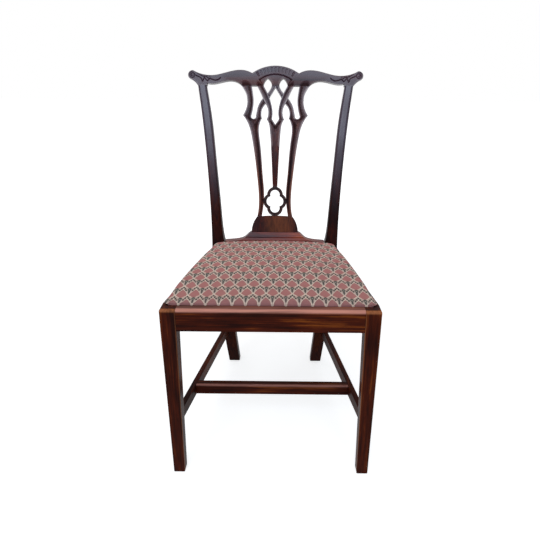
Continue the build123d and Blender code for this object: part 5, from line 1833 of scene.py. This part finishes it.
@dataclass
class Cushion:
    """Stuffed seat in its woven cover, crowned and turned in underneath; lengths in mm."""

    front_y: float
    back_y: float
    bottom: float
    rail_top: float
    finish: ScaleWeave = ScaleWeave()
    front_half: float = 231.6
    back_half: float = 176.75
    front_corner: float = 13.0
    back_corner: float = 20.0
    end_stations: tuple[float, ...] = (0.0, 1.3, 3.2, 5.8, 9.0, 13.5)
    cell: float = 7.0
    sharp: float = 80.0
    crown: float = 26.0
    crown_radius: float = 2600.0
    roll: float = 10.0
    front_roll: float = 6.0
    roll_span: Point = (5.0, 60.0)
    front_fall: float = 11.0
    front_fall_reach: float = 95.0
    front_fall_power: float = 1.7
    back_rise: float = 3.0
    back_rise_span: Point = (-120.0, -10.0)
    swell: float = 3.0
    swell_reach: float = 60.0
    lip_level: float = 449.4
    lip_gap: float = 0.6
    overhang_front: Point = (10.0, 8.0)
    overhang_back: Point = (2.5, 4.5)
    overhang_start: Point = (-25.0, 20.0)
    overhang_end: Point = (30.0, 110.0)
    side_band: float = 1.0
    side_rows: Points = ((0.99, 0.35), (0.92, 0.68), (0.72, 0.9), (0.4, 1.0), (0.0, 1.02))
    bottom_round: float = 1.2
    bottom_rows: tuple[float, ...] = (0.9, 8.0, 18.0)
    turned_in: float = 28.0
    turned_middle: float = 15.0
    cloth: float = 1.3
    wall: float = 1.45
    inside_foot: float = 442.0
    inside_level: float = 451.8
    pinned: float = 9.0
    cap: float = 5.0
    frames: int = 20
    uv: str = "weave"

    def share(self, y: Array | float) -> Array | float:
        """Share of the seat's depth at y, from the front."""
        return (y - self.front_y) / (self.back_y - self.front_y)

    def half(self, y: Array | float) -> Array | float:
        """Half width of the seat at y."""
        return self.front_half + (self.back_half - self.front_half) * self.share(y)

    def middle(self) -> float:
        """Middle of the seat's depth."""
        return 0.5 * (self.front_y + self.back_y)

    def corner(self, y: Array) -> Array:
        """Radius of the plan's nearer corner at y."""
        return np.where(y < self.middle(), self.front_corner, self.back_corner)

    def stations(self, length: float) -> Array:
        """Places mesh lines along a side, closer together near both ends.

        Args:
            length: the side's length.

        Returns:
            Places from 0 to the length.
        """
        near = np.array(self.end_stations)
        count = round((length - 2 * near[-1]) / self.cell)
        middle = np.linspace(near[-1], length - near[-1], count + 1)
        return np.concatenate((near[:-1], middle, (length - near[:-1])[::-1]))

    def bulge(self, x: Array, y: Array) -> Array:
        """Finds how far the sides swell out over the rails.

        Args:
            x: places across the seat.
            y: places along it.

        Returns:
            The swelling at each place.
        """
        start, full = (self.front_y + reach for reach in self.overhang_start)
        none, whole = (reach - self.back_y for reach in self.overhang_end)
        ends = smooth_step(y, start, full) * smooth_step(-y, none, whole)
        ahead, behind = (np.where(x < 0, *pair) for pair in (self.overhang_front, self.overhang_back))
        return (ahead + (behind - ahead) * self.share(y)) * ends

    def plan(self) -> Array:
        """Lays a grid over the seat's plan, with rounded corners.

        Returns:
            x and y for each row and column.
        """
        across = self.stations(2 * self.front_half) / self.front_half - 1.0
        along = self.stations(self.back_y - self.front_y) + self.front_y
        u, y = np.meshgrid(across, along)
        x = u * self.half(y)
        corner = self.corner(y)
        side = np.clip(1.0 - (self.half(y) - np.abs(x)) / corner, 0.0, 1.0)
        end = np.clip(1.0 - np.minimum(y - self.front_y, self.back_y - y) / corner, 0.0, 1.0)
        pull_x = corner * (side - side * np.sqrt(1.0 - end ** 2 / 2.0))
        pull_y = corner * (end - end * np.sqrt(1.0 - side ** 2 / 2.0))
        x = x - np.sign(x) * pull_x
        y = y + np.where(y < self.middle(), pull_y, -pull_y)
        return np.stack((x, y), axis=-1)

    def edge_gap(self, plan: Array) -> Array:
        """Measures how far plan points lie from the seat's edge.

        Args:
            plan: the points.

        Returns:
            The distances.
        """
        x, y = np.abs(plan[..., 0]), plan[..., 1]
        corner = self.corner(y)
        side = self.half(y) - x
        end = np.minimum(y - self.front_y, self.back_y - y)
        rounded = corner - np.hypot(corner - side, corner - end)
        return np.maximum(np.where((side < corner) & (end < corner), rounded, np.minimum(side, end)), 0.0)

    def top(self, plan: Array) -> Array:
        """Finds the height of the crowned top.

        Args:
            plan: plan points.

        Returns:
            The height at each point.
        """
        y = plan[..., 1]
        reach = plan[..., 0] ** 2 + (y - self.middle()) ** 2
        drop = self.crown_radius - np.sqrt(self.crown_radius ** 2 - reach)
        gap = self.edge_gap(plan)
        ahead, behind = y - self.front_y, self.back_y - y
        soft = smooth_step(np.minimum(ahead, behind), *self.roll_span)
        soft = self.front_roll + (self.roll - self.front_roll) * soft
        fall = np.clip(1.0 - ahead / self.front_fall_reach, 0.0, 1.0) ** self.front_fall_power
        fall = self.front_fall * fall - self.back_rise * smooth_step(-behind, *self.back_rise_span)
        level = self.rail_top + self.crown - drop - rounded_drop(soft, gap) - fall
        level = level - self.swell * smooth_step(gap, 0.0, self.swell_reach)
        return np.maximum(level, self.lip_level + self.lip_gap)

    def rings(self, rim: Array, out: Array) -> list[tuple[Array, Array]]:
        """Inset and height of each ring from the rim down, under and up the inside.

        Args:
            rim: height of the rim.
            out: how far the rim stands out over the rails.

        Returns:
            The rings, from the rim to the inside.
        """
        low, lip = (np.full(len(rim), level) for level in (self.bottom, self.lip_level))
        rows = [(-out * keep, rim + (lip - rim) * share) for keep, share in self.side_rows]
        rows += [(np.zeros(len(rim)), lip + (low + self.bottom_round - lip) * share) for share in (0.5, 1.0)]
        levels = [(inset, low) for inset in (*self.bottom_rows, self.turned_in)]
        levels += [(inset, low + self.cloth) for inset in (self.turned_in, self.turned_middle, self.wall)]
        levels += [(self.wall, np.full(len(rim), level)) for level in (self.inside_foot, self.inside_level)]
        return rows + [(np.full(len(rim), inset), level) for inset, level in levels]

    def _cover(self) -> tuple[Array, Array, list[tuple[int, ...]], Array]:
        """Lays out the closed cover.

        Returns:
            Its points, their places on the flat cloth, its faces, and True for each point that may move.
        """
        plan = self.plan()
        rows, columns = plan.shape[:2]
        first = rows * columns
        index = np.arange(first).reshape(rows, columns)
        loop = np.concatenate((index[0, :-1], index[:-1, -1], index[-1, :0:-1], index[:0:-1, 0]))
        flat = plan.reshape(-1, 2)
        heights = self.top(flat)
        rim = flat[loop].copy()
        out = self.bulge(*rim.T) * (np.abs(rim[:, 0]) > self.half(rim[:, 1]) - self.side_band)
        swollen = flat.copy()
        swollen[:, 0] *= 1.0 + self.bulge(*flat.T) / self.half(flat[:, 1])
        tangent = np.roll(rim, -1, axis=0) - np.roll(rim, 1, axis=0)
        outward = np.column_stack((tangent[:, 1], -tangent[:, 0])) / np.hypot(*tangent.T)[:, None]
        points = [np.column_stack((swollen, heights))]
        cloth = [swollen]
        top = [(index[r, c], index[r, c + 1], index[r + 1, c + 1], index[r + 1, c])
               for r in range(rows - 1) for c in range(columns - 1)]
        faces = list(top)
        previous = loop
        for inset, level in self.rings(heights[loop], out):
            ring = np.arange(first, first + len(loop))
            points.append(np.column_stack((rim - inset[:, None] * outward, level)))
            cloth.append(rim + outward * (np.abs(heights[loop] - level) + np.abs(inset))[:, None])
            following, before = np.roll(ring, -1), np.roll(previous, -1)
            faces += [tuple(corners) for corners in zip(ring, following, before, previous)]
            previous = ring
            first += len(loop)
        inner = np.empty(len(flat), int)
        inner[loop] = previous
        inside = np.setdiff1d(np.arange(len(flat)), loop)
        inner[inside] = np.arange(first, first + len(inside))
        points.append(np.column_stack((flat[inside], np.full(len(inside), self.inside_level))))
        cloth.append(flat[inside])
        faces += [tuple(inner[list(reversed(face))]) for face in top]
        free = np.zeros(first + len(inside), bool)
        free[:len(flat)] = self.edge_gap(flat) > self.pinned
        return np.vstack(points), np.vstack(cloth), faces, free

    def build(self) -> list[Object]:
        """Makes the cushion and lets its cover swell.

        Returns:
            The cushion alone.
        """
        points, cloth, faces, free = self._cover()
        material = self.finish.material("woven_cover", self.uv)
        piece = make_piece("seat_cushion", MM * points, faces, material, self.sharp)
        self._lay_flat(piece.data, MM * cloth)
        self._swell(piece, free)
        smooth = piece.modifiers.new("smooth", "SUBSURF")
        smooth.levels = 1
        smooth.render_levels = 1
        settle(piece, SEAT, "tapestry", "seat_cover", "seat_pad")
        return [piece]

    def _lay_flat(self, mesh: Mesh, cloth: Array) -> None:
        """Gives each corner its place on the flat cloth.

        Args:
            mesh: the cushion.
            cloth: the place of each point, in metres.
        """
        layer = mesh.uv_layers.new(name=self.uv)
        corner = np.empty(len(mesh.loops), int)
        mesh.loops.foreach_get("vertex_index", corner)
        layer.data.foreach_set("uv", cloth[corner].astype(np.float32).ravel())

    def _swell(self, piece: Object, free: Array) -> None:
        """Lets the stuffing press the cover out, as far as its cap.

        Args:
            piece: the cushion.
            free: True for each point that may move.
        """
        held = piece.vertex_groups.new(name="held")
        held.add([int(number) for number in np.flatnonzero(~free)], 1.0, "REPLACE")
        modifier = piece.modifiers.new("swell", "CLOTH")
        settings = modifier.settings
        settings.quality = 6
        settings.mass = 0.25
        settings.tension_stiffness = 12.0
        settings.compression_stiffness = 12.0
        settings.bending_stiffness = 0.4
        settings.vertex_group_mass = held.name
        settings.use_pressure = True
        settings.uniform_pressure_force = 4.0
        settings.effector_weights.gravity = 0.0
        modifier.collision_settings.use_collision = False
        modifier.point_cache.frame_start = 1
        modifier.point_cache.frame_end = self.frames
        before = np.array([vertex.co for vertex in piece.data.vertices])
        scene = bpy.context.scene
        for number in range(1, self.frames + 1):
            scene.frame_set(number)
        solved = piece.evaluated_get(bpy.context.evaluated_depsgraph_get())
        after = np.array([vertex.co for vertex in solved.data.vertices])
        piece.modifiers.remove(modifier)
        piece.vertex_groups.remove(held)
        scene.frame_set(1)
        move = after - before
        length = np.linalg.norm(move, axis=1)[:, None]
        move *= np.minimum(1.0, self.cap * MM / np.maximum(length, 1e-9))
        piece.data.vertices.foreach_set("co", (before + move).astype(np.float32).ravel())
        piece.data.update()
        rise = move[free, 2] / MM
        LOG.info("cushion rose by %.1f to %.1f mm, %.1f on average", rise.min(), rise.max(), rise.mean())


@dataclass
class Webbing:
    """Interlaced straps and the hessian sheet over the seat's frame; lengths in mm."""

    level: float
    thickness: float = 1.6
    selvedge: float = 0.35
    strands: int = 11
    rise: float = 1.8
    flat: float = 56.0
    landing: float = 32.0
    step: float = 5.0
    sharp: float = 60.0
    columns: tuple[str, ...] = ("left", "middle", "right")
    rows: tuple[str, ...] = ("front", "middle", "back")
    jute: PlainWeave = PlainWeave(0.0019, (0.36, 0.25, 0.14), (0.17, 0.105, 0.052), (0.10, 0.045, 0.03))
    hessian: PlainWeave = PlainWeave(0.0016, (0.33, 0.24, 0.14), (0.14, 0.09, 0.048))
    sheet_grid: tuple[int, int] = (49, 57)
    sheet_inset: float = 0.15
    sheet_end: float = 8.0
    pucker: float = 0.12
    pucker_turns: Point = (0.21, 0.17)

    def middles(self, word: str, names: Sequence[str], axis: int) -> list[float]:
        """Middle of each strap of one direction, along the axis across them."""
        boxes = [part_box(word + name) for name in names]
        return [0.5 / MM * (low[axis] + high[axis]) for low, high in boxes]

    def strap(self, node: str, way: int, crossings: Sequence[float], first_over: bool) -> Object:
        """Makes one strap that passes over and under the ones it crosses.

        Args:
            node: the CAD node that it stands for.
            way: 0 for a strap along X, 1 along Y.
            crossings: middles of the straps it meets.
            first_over: True where it passes over the first of them.

        Returns:
            The strap.
        """
        low, high = (np.array(corner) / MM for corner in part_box(node))
        knots = [(low[way], 0.0), (low[way] + self.landing, 0.0)]
        over = first_over
        for place in crossings:
            height = self.rise if over else 0.0
            knots += [(place - self.flat / 2, height), (place + self.flat / 2, height)]
            over = not over
        knots += [(high[way] - self.landing, 0.0), (high[way], 0.0)]
        along = np.linspace(low[way], high[way], round((high[way] - low[way]) / self.step) + 1)
        lift = np.interp(along, *np.array(knots).T)
        across = np.linspace(low[1 - way], high[1 - way], self.strands)
        edge = np.zeros(self.strands)
        edge[[0, -1]] = self.selvedge
        corners = []
        for side in (1, -1):
            for place, height in zip(along, lift):
                for x, thin in zip(across, edge):
                    z = self.level + height + (self.thickness - thin if side > 0 else thin)
                    corners.append((place, x, z) if way == 0 else (x, place, z))
        middle = 0.5 * MM * (low[1 - way] + high[1 - way])
        weave = replace(self.jute, stripe_axis=1 - way, stripe_middle=middle)
        piece = make_piece(node + "_woven", MM * np.array(corners), self._shell(len(along), len(across), way),
                           weave.material("jute_" + node), self.sharp)
        settle(piece, SEAT, "webbing", node)
        size = MM * (high - low)
        size[1 - way]
        return piece

    def _shell(self, long: int, wide: int, way: int) -> list[tuple[int, ...]]:
        """Lays out the faces of a closed strip of two layers.

        Args:
            long: points along the strip.
            wide: points across it.
            way: 0 for a strip along X, 1 along Y.

        Returns:
            The faces.
        """
        count = long * wide
        top = [(r * wide + c, r * wide + c + 1, (r + 1) * wide + c + 1, (r + 1) * wide + c)
               for r in range(long - 1) for c in range(wide - 1)]
        ring = list(range(wide))
        ring += [r * wide + wide - 1 for r in range(1, long)]
        ring += [(long - 1) * wide + c for c in range(wide - 2, -1, -1)]
        ring += [r * wide for r in range(long - 2, 0, -1)]
        faces = top + [tuple(count + corner for corner in reversed(face)) for face in top]
        faces += [(a, a + count, b + count, b) for a, b in zip(ring, ring[1:] + ring[:1])]
        return faces if way == 1 else [tuple(reversed(face)) for face in faces]

    def sheet(self) -> Object:
        """Makes the hessian, drawn tight and a little puckered.

        Returns:
            The sheet.
        """
        low, high = (np.array(corner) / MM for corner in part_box("hessian"))
        corners = np.array([vertex.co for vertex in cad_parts["hessian"].data.vertices]) / MM
        front = np.abs(corners[corners[:, 1] < low[1] + self.sheet_end][:, 0]).max()
        back = np.abs(corners[corners[:, 1] > high[1] - self.sheet_end][:, 0]).max()
        rows, columns = self.sheet_grid
        points = []
        for level in (high[2] - self.sheet_inset, low[2] + self.sheet_inset):
            for y in np.linspace(low[1], high[1], rows):
                half = front + (back - front) * (y - low[1]) / (high[1] - low[1])
                for x in np.linspace(-half, half, columns):
                    wave = math.sin(self.pucker_turns[0] * x) * math.sin(self.pucker_turns[1] * y)
                    points.append((x, y, level + self.pucker * wave))
        piece = make_piece("hessian_woven", MM * np.array(points), self._shell(rows, columns, 1),
                           self.hessian.material("hessian_cloth"), self.sharp)
        settle(piece, SEAT, "hessian", "hessian")
        return piece

    def build(self) -> list[Object]:
        """Makes the straps and the sheet.

        Returns:
            The straps, then the sheet.
        """
        lengthwise, crosswise = "webbing_lengthwise_", "webbing_crosswise_"
        columns = self.middles(lengthwise, self.columns, 0)
        rows = self.middles(crosswise, self.rows, 1)
        pieces = [self.strap(lengthwise + name, 1, rows, number % 2 == 0)
                  for number, name in enumerate(self.columns)]
        pieces += [self.strap(crosswise + name, 0, columns, number % 2 == 1)
                   for number, name in enumerate(self.rows)]
        return pieces + [self.sheet()]


# Fasteners


@dataclass
class Fasteners:
    """Tacks of the seat and screws of the corner blocks; lengths in mm, tapers as shares of a radius."""

    tack_head: float = 3.5
    tack_head_height: float = 0.9
    tack_head_taper: float = 0.62
    tack_shank: float = 0.8
    tack_shank_taper: float = 0.2
    tack_length: float = 10.0
    tack_sides: tuple[int, int] = (12, 4)
    tack_seed: int = 7
    screw_head: float = 4.0
    screw_head_height: float = 3.0
    screw_head_taper: float = 0.86
    screw_shank: float = 2.0
    screw_shank_taper: float = 0.4
    screw_sides: tuple[int, int] = (24, 12)
    slot_width: float = 0.9
    slot_depth: float = 1.2
    slot_length: float = 3.0
    sharp: float = 30.0
    finish: Iron = Iron()

    def tacks(self, node: str, name: str, up: bool) -> Object:
        """Makes the tacks of one node.

        Args:
            node: the CAD node that they stand for.
            name: the piece's name.
            up: True where the heads face up.

        Returns:
            The tacks as one piece.
        """
        seat = self.tack_head_height * MM
        places = []
        for solid in solids_of(node):
            low, high = solid.min(axis=0), solid.max(axis=0)
            middle = 0.5 * (low + high)
            places.append(Vector((middle[0], middle[1], high[2] - seat if up else low[2] + seat)))
        sheet = GrowthSheet("cut_tack")
        head = sheet.size("Head radius", self.tack_head * MM)
        height = sheet.size("Head height", self.tack_head_height * MM)
        shank = sheet.size("Shank radius", self.tack_shank * MM)
        length = sheet.size("Shank length", self.tack_length * MM)
        flip = sheet.size("Turn over", 0.0 if up else math.pi)
        head_sides, shank_sides = self.tack_sides
        disc = sheet.cone(head_sides, head * self.tack_head_taper, head, height)
        spike = sheet.shaft(shank_sides, shank * self.tack_shank_taper, shank, length)
        spin = sheet.node("FunctionNodeRandomValue", {"data_type": "FLOAT"},
                          {"Min": 0.0, "Max": 2 * math.pi, "Seed": self.tack_seed}, "Value")
        turned = sheet.node("ShaderNodeCombineXYZ", None, {"X": flip, "Z": spin})
        placed = sheet.planted((disc, spike), turned)
        mesh = sheet.grow(point_mesh(places), placed, self.finish.material("steel_" + name))
        return settle(show_mesh(name, mesh, self.sharp), SEAT, "tack_steel", node)

    def screw_seats(self) -> tuple[list[Vector], Array, float]:
        """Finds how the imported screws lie.

        Returns:
            The foot of each head, the way that it faces, and the length of a shank in mm.
        """
        places, ways, lengths = [], [], []
        for solid in solids_of("corner_block_screws"):
            middle = solid.mean(axis=0)
            way = np.linalg.svd(solid - middle)[2][0]
            along = (solid - middle) @ way
            wide = np.linalg.norm((solid - middle) - along[:, None] * way, axis=1)
            if along[wide.argmax()] > 0:
                way, along = -way, -along
            places.append(Vector(middle + way * (along.min() + self.screw_head_height * MM)))
            ways.append(-way)
            lengths.append(np.ptp(along) / MM - self.screw_head_height)
        return places, np.array(ways, np.float32), lengths[0]

    def screws(self) -> Object:
        """Makes the slotted screws of the corner blocks.

        Returns:
            The screws as one piece.
        """
        places, ways, reach = self.screw_seats()
        sheet = GrowthSheet("slotted_screw")
        head = sheet.size("Head radius", self.screw_head * MM)
        height = sheet.size("Head height", self.screw_head_height * MM)
        shank = sheet.size("Shank radius", self.screw_shank * MM)
        length = sheet.size("Shank length", reach * MM)
        slot = sheet.size("Slot width", self.slot_width * MM)
        deep = sheet.size("Slot depth", self.slot_depth * MM)
        head_sides, shank_sides = self.screw_sides
        dome = sheet.cone(head_sides, head * self.screw_head_taper, head, height, 2)
        cut_size = sheet.node("ShaderNodeCombineXYZ", None,
                              {"X": head * self.slot_length, "Y": slot, "Z": deep * 2.0})
        cut_place = sheet.node("ShaderNodeCombineXYZ", None, {"Z": height})
        bar = sheet.node("GeometryNodeMeshCube", None, {"Size": cut_size})
        bar = sheet.node("GeometryNodeTransform", None, {"Geometry": bar, "Translation": cut_place})
        slotted = sheet.node("GeometryNodeMeshBoolean", {"operation": "DIFFERENCE"}, {0: dome, 1: bar})
        rod = sheet.shaft(shank_sides, shank * self.screw_shank_taper, shank, length)
        way = sheet.node("GeometryNodeInputNamedAttribute", {"data_type": "FLOAT_VECTOR"}, {"Name": "way"})
        turned = sheet.node("FunctionNodeAlignRotationToVector", {"axis": "Z"}, {"Vector": way})
        base = point_mesh(places)
        base.attributes.new("way", "FLOAT_VECTOR", "POINT").data.foreach_set("vector", ways.ravel())
        placed = sheet.planted((slotted, rod), turned)
        mesh = sheet.grow(base, placed, self.finish.material("steel_screws"))
        piece = show_mesh("corner_block_slotted_screws", mesh, self.sharp)
        return settle(piece, CHAIR, "screw_steel", "corner_block_screws")

    def build(self) -> list[Object]:
        """Makes both sets of tacks, then the screws."""
        return [self.tacks("webbing_tacks", "webbing_cut_tacks", True),
                self.tacks("cover_tacks", "cover_cut_tacks", False), self.screws()]


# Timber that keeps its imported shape


@dataclass
class Joinery:
    """Legs, rails, stretchers, shoe, corner blocks and the seat's frame; lengths in metres."""

    leg_head: float = 0.035
    leg_foot: float = 0.027
    leg_drop: float = 0.05
    foot_set: float = 0.003
    top_set: float = 0.002
    leg_rubbed: Colour = (0.330, 0.115, 0.045)
    rail_joint: float = 0.2078
    rail_arris: Point = (0.003, -0.001)
    rail_lip: Point = (0.013, 0.0)
    # pink of the rail's rubbed top edge, partly a painted highlight
    rail_rub_highlight: Colour = (0.560, 0.240, 0.180)
    far: float = 1.0

    def dress(self, node: str, finish: Mahogany | Beech, name: str) -> None:
        """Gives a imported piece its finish.

        Args:
            node: the piece.
            finish: its finish.
            name: the material's name.
        """
        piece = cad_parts[node]
        piece.data.materials.clear()
        piece.data.materials.append(finish.material(name))
        LOG.info("dressed %s", node)

    def across(self, front: float, top: float, reach: float, strength: float) -> WornHighlightEdge:
        """A rubbed edge that runs across the whole chair; on the front rail it also paints the highlight."""
        return WornHighlightEdge((-self.far, front, top), (self.far, front, top), reach, strength)

    def front_leg(self, side: int) -> Mahogany:
        """Finish of a front leg, rubbed along its front corners.

        Args:
            side: 1 for the right leg, -1 for the left one.

        Returns:
            The finish.
        """
        low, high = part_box("front_leg_right" if side > 0 else "front_leg_left")
        outer = high.x if side > 0 else low.x
        inner = outer - side * self.leg_head
        foot_outer = outer - side * self.foot_set
        foot_inner = foot_outer - side * self.leg_foot
        front, foot_front = low.y, low.y + self.foot_set
        top_front, top = low.y + self.top_set, high.z - self.top_set
        edges = (WornHighlightEdge((outer, front, high.z), (foot_outer, foot_front, 0.0), 0.0026, 0.40),
                 WornHighlightEdge((inner, front, high.z - self.leg_drop), (foot_inner, foot_front, 0.0), 0.003, 0.6),
                 WornHighlightEdge((outer, top_front, top), (inner, top_front, top), 0.007, 0.8))
        return Mahogany(Grain.UPRIGHT, 3.1 + side, 0.9 if side < 0 else 0.8, worn_and_highlit=edges,
                        rub_highlight_tone=self.leg_rubbed)

    def front_rail(self) -> Mahogany:
        """Finish of the front rail, rubbed along its rounded top edge, where a painted highlight lies too.

        Returns:
            The finish.
        """
        low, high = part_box("front_rail")
        # the arris and the top behind it carry rubbed wood and a painted highlight
        arris = self.across(low.y + self.rail_arris[0], high.z + self.rail_arris[1], 0.0080, 0.9)
        lip = self.across(low.y + self.rail_lip[0], high.z + self.rail_lip[1], 0.0125, 0.30)
        return Mahogany(Grain.ACROSS, 5.4, 0.75, lean=0.12, worn_and_highlit=(arris, lip), joints=(self.rail_joint,),
                        rub_highlight_tone=self.rail_rub_highlight)

    def cross_stretcher(self) -> Mahogany:
        """Finish of the cross stretcher, rubbed along its top edge."""
        low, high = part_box("cross_stretcher")
        return Mahogany(Grain.ACROSS, 8.2, 0.8, 0.9, worn_and_highlit=(self.across(low.y, high.z, 0.007, 0.9),))

    def build(self) -> None:
        """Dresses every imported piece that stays."""
        for side, name in ((-1, "left"), (1, "right")):
            # the stiles' polish rises toward the top, where it also paints their sheen
            stile = StileMahogany(Grain.UPRIGHT, 11.0 + side, 0.25, 0.55, polish=(0.04, 1.2))
            for piece, finish in (("front_leg_", self.front_leg(side)), ("rear_leg_", stile),
                                  ("side_rail_", Mahogany(Grain.DEEP, 15.0 + side, 0.5)),
                                  ("side_stretcher_", Mahogany(Grain.DEEP, 19.0 + side, 0.4, 0.9))):
                self.dress(piece + name, finish, "mahogany_" + piece + name)
            self.dress("seat_frame_" + name, Beech(Grain.DEEP, 1.0 + side), "beech_side_" + name)
            for end in ("front", "rear"):
                node = f"corner_block_{end}_{name}"
                self.dress(node, Beech(Grain.ACROSS, 4.0 + side), "beech_" + node)
        # brightened wood and painted sheen stand in for the shoe's highlights
        shoe = Mahogany(Grain.ACROSS, 26.0, 0.4, 3.7, polish=(0.40, 0.40))
        self.dress("front_rail", self.front_rail(), "mahogany_front_rail")
        self.dress("rear_rail", Mahogany(Grain.ACROSS, 23.0, 0.4), "mahogany_rear_rail")
        self.dress("splat_shoe", shoe, "mahogany_shoe")
        self.dress("cross_stretcher", self.cross_stretcher(), "mahogany_cross_stretcher")
        self.dress("seat_frame_front", Beech(Grain.ACROSS, 7.0), "beech_front")
        self.dress("seat_frame_back", Beech(Grain.ACROSS, 9.0), "beech_back")


# Floor, light and camera


@dataclass(frozen=True)
class Lamp:
    """A soft rectangular lamp; lengths in metres, power in watts."""

    name: str
    place: Place
    aim: Place
    size: Point
    power: float
    colour: Colour

    def hang(self) -> None:
        """Puts the lamp in the room."""
        data = bpy.data.lights.new(self.name, "AREA")
        data.shape = "RECTANGLE"
        data.size, data.size_y = self.size
        data.energy = self.power
        data.color = self.colour
        lamp = bpy.data.objects.new(self.name, data)
        lamp.location = self.place
        lamp.rotation_euler = (Vector(self.aim) - Vector(self.place)).to_track_quat("-Z", "Y").to_euler()
        bpy.context.scene.collection.objects.link(lamp)


@dataclass
class Studio:
    """Pale floor, soft light and a camera where the photographer stood; lengths in metres."""

    floor_half: float = 30.0
    floor_level: float = -0.0005
    floor_tone: float = 0.62
    floor_glow: Point = (0.69, 0.31)
    floor_span: Point = (0.6, 2.2)
    sky: Colour = (0.90, 0.95, 1.0)
    sky_strength: float = 0.38
    lamps: tuple[Lamp, ...] = (
        Lamp("overhead", (-0.5, -0.6, 3.0), (0.0, 0.0, 0.4), (2.4, 2.4), 24.0, (1.0, 0.97, 0.93)),
        Lamp("window", (-0.3, -2.9, 2.45), (0.0, 0.2, 0.8), (4.0, 1.8), 80.0, (0.80, 0.89, 1.0)))
    eye: Place = (0.0281, -1.1304, 0.9080)
    yaw: float = -0.005
    pitch: float = -0.323
    roll: float = 0.007
    lens: float = 29.81
    sensor: float = 36.0
    shift: Point = (-0.0220, -0.0618)

    def camera(self) -> None:
        """Makes the camera."""
        look = Vector((math.sin(self.yaw) * math.cos(self.pitch), math.cos(self.yaw) * math.cos(self.pitch),
                       math.sin(self.pitch)))
        level = Vector((math.cos(self.yaw), -math.sin(self.yaw), 0.0))
        upright = level.cross(look)
        right = level * math.cos(self.roll) + upright * math.sin(self.roll)
        up = upright * math.cos(self.roll) - level * math.sin(self.roll)
        data = bpy.data.cameras.new("camera")
        data.lens = self.lens
        data.sensor_width = self.sensor
        data.shift_x, data.shift_y = self.shift
        camera = bpy.data.objects.new("camera", data)
        pose = Matrix((right, up, -look)).transposed().to_4x4()
        pose.translation = self.eye
        camera.matrix_world = pose
        bpy.context.scene.collection.objects.link(camera)
        bpy.context.scene.camera = camera

    def _seen(self, sheet: NodeSheet) -> Signal:
        """Finds rays that show the background itself.

        Args:
            sheet: the node tree.

        Returns:
            1 for such a ray, 0 for others.
        """
        rays = sheet.node("ShaderNodeLightPath").socket.node.outputs
        shown = sum(Signal(sheet, rays[f"Is {name} Ray"]) for name in ("Camera", "Glossy", "Transmission"))
        return sheet.maths("MINIMUM", shown, 1.0)

    def world(self) -> None:
        """White surroundings that light the chair softly."""
        world = bpy.data.worlds.new("surroundings")
        world.use_nodes = True
        sheet = NodeSheet(world.node_tree)
        glow = sheet.node("ShaderNodeBackground", None,
                          {"Color": (*self.sky, 1.0), "Strength": self.sky_strength})
        white = sheet.node("ShaderNodeBackground", None, {"Color": (1.0, 1.0, 1.0, 1.0), "Strength": 1.0})
        both = sheet.node("ShaderNodeMixShader", None, {0: self._seen(sheet), 1: glow, 2: white})
        end = world.node_tree.nodes.new("ShaderNodeOutputWorld")
        world.node_tree.links.new(both.socket, end.inputs["Surface"])
        bpy.context.scene.world = world

    def floor(self) -> None:
        """Pale floor that keeps the chair's shadow."""
        sheet = FinishSheet("floor_white")
        matt = sheet.node("ShaderNodeBsdfDiffuse", None, {"Color": (*(self.floor_tone,) * 3, 1.0)})
        away = sheet.vector("LENGTH", sheet.place(), output="Value")
        strength = self.floor_glow[0] + sheet.step(away, *self.floor_span) * self.floor_glow[1]
        lift = sheet.node("ShaderNodeEmission", None, {"Color": (1.0, 1.0, 1.0, 1.0), "Strength": strength})
        shown = sheet.node("ShaderNodeAddShader", None, {0: matt, 1: lift})
        sheet.finish(sheet.node("ShaderNodeMixShader", None, {0: self._seen(sheet), 1: matt, 2: shown}))
        half = self.floor_half
        corners = np.array([(x, y, self.floor_level)
                            for x, y in ((-half, -half), (half, -half), (half, half), (-half, half))])
        make_piece("floor", corners, [(0, 1, 2, 3)], sheet.material)

    def build(self) -> None:
        """Sets up the room."""
        self.camera()
        self.world()
        self.floor()
        for lamp in self.lamps:
            lamp.hang()
        bpy.context.scene.view_settings.view_transform = "Standard"


def main() -> None:
    """Builds the chair's looks piece by piece."""
    logging.basicConfig(level=logging.INFO, format="%(name)s: %(message)s")
    leg_low, leg_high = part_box("front_leg_left")
    seat_low, seat_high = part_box("seat_cover")
    rail_top = leg_high.z / MM
    plane = BackPlane(leg_low.y / MM + BACK_SETBACK, rail_top)
    Studio().build()
    Joinery().build()
    for assembly in (Splat(plane), CrestRail(plane),
                     Cushion(seat_low.y / MM, seat_high.y / MM, seat_low.z / MM, rail_top),
                     Webbing(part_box("seat_frame_front")[1].z / MM),
                     Fasteners()):
        for piece in assembly.build():
            LOG.info("made %s with %d faces", piece.name, len(piece.data.polygons))


if __name__ == "__main__":
    main()
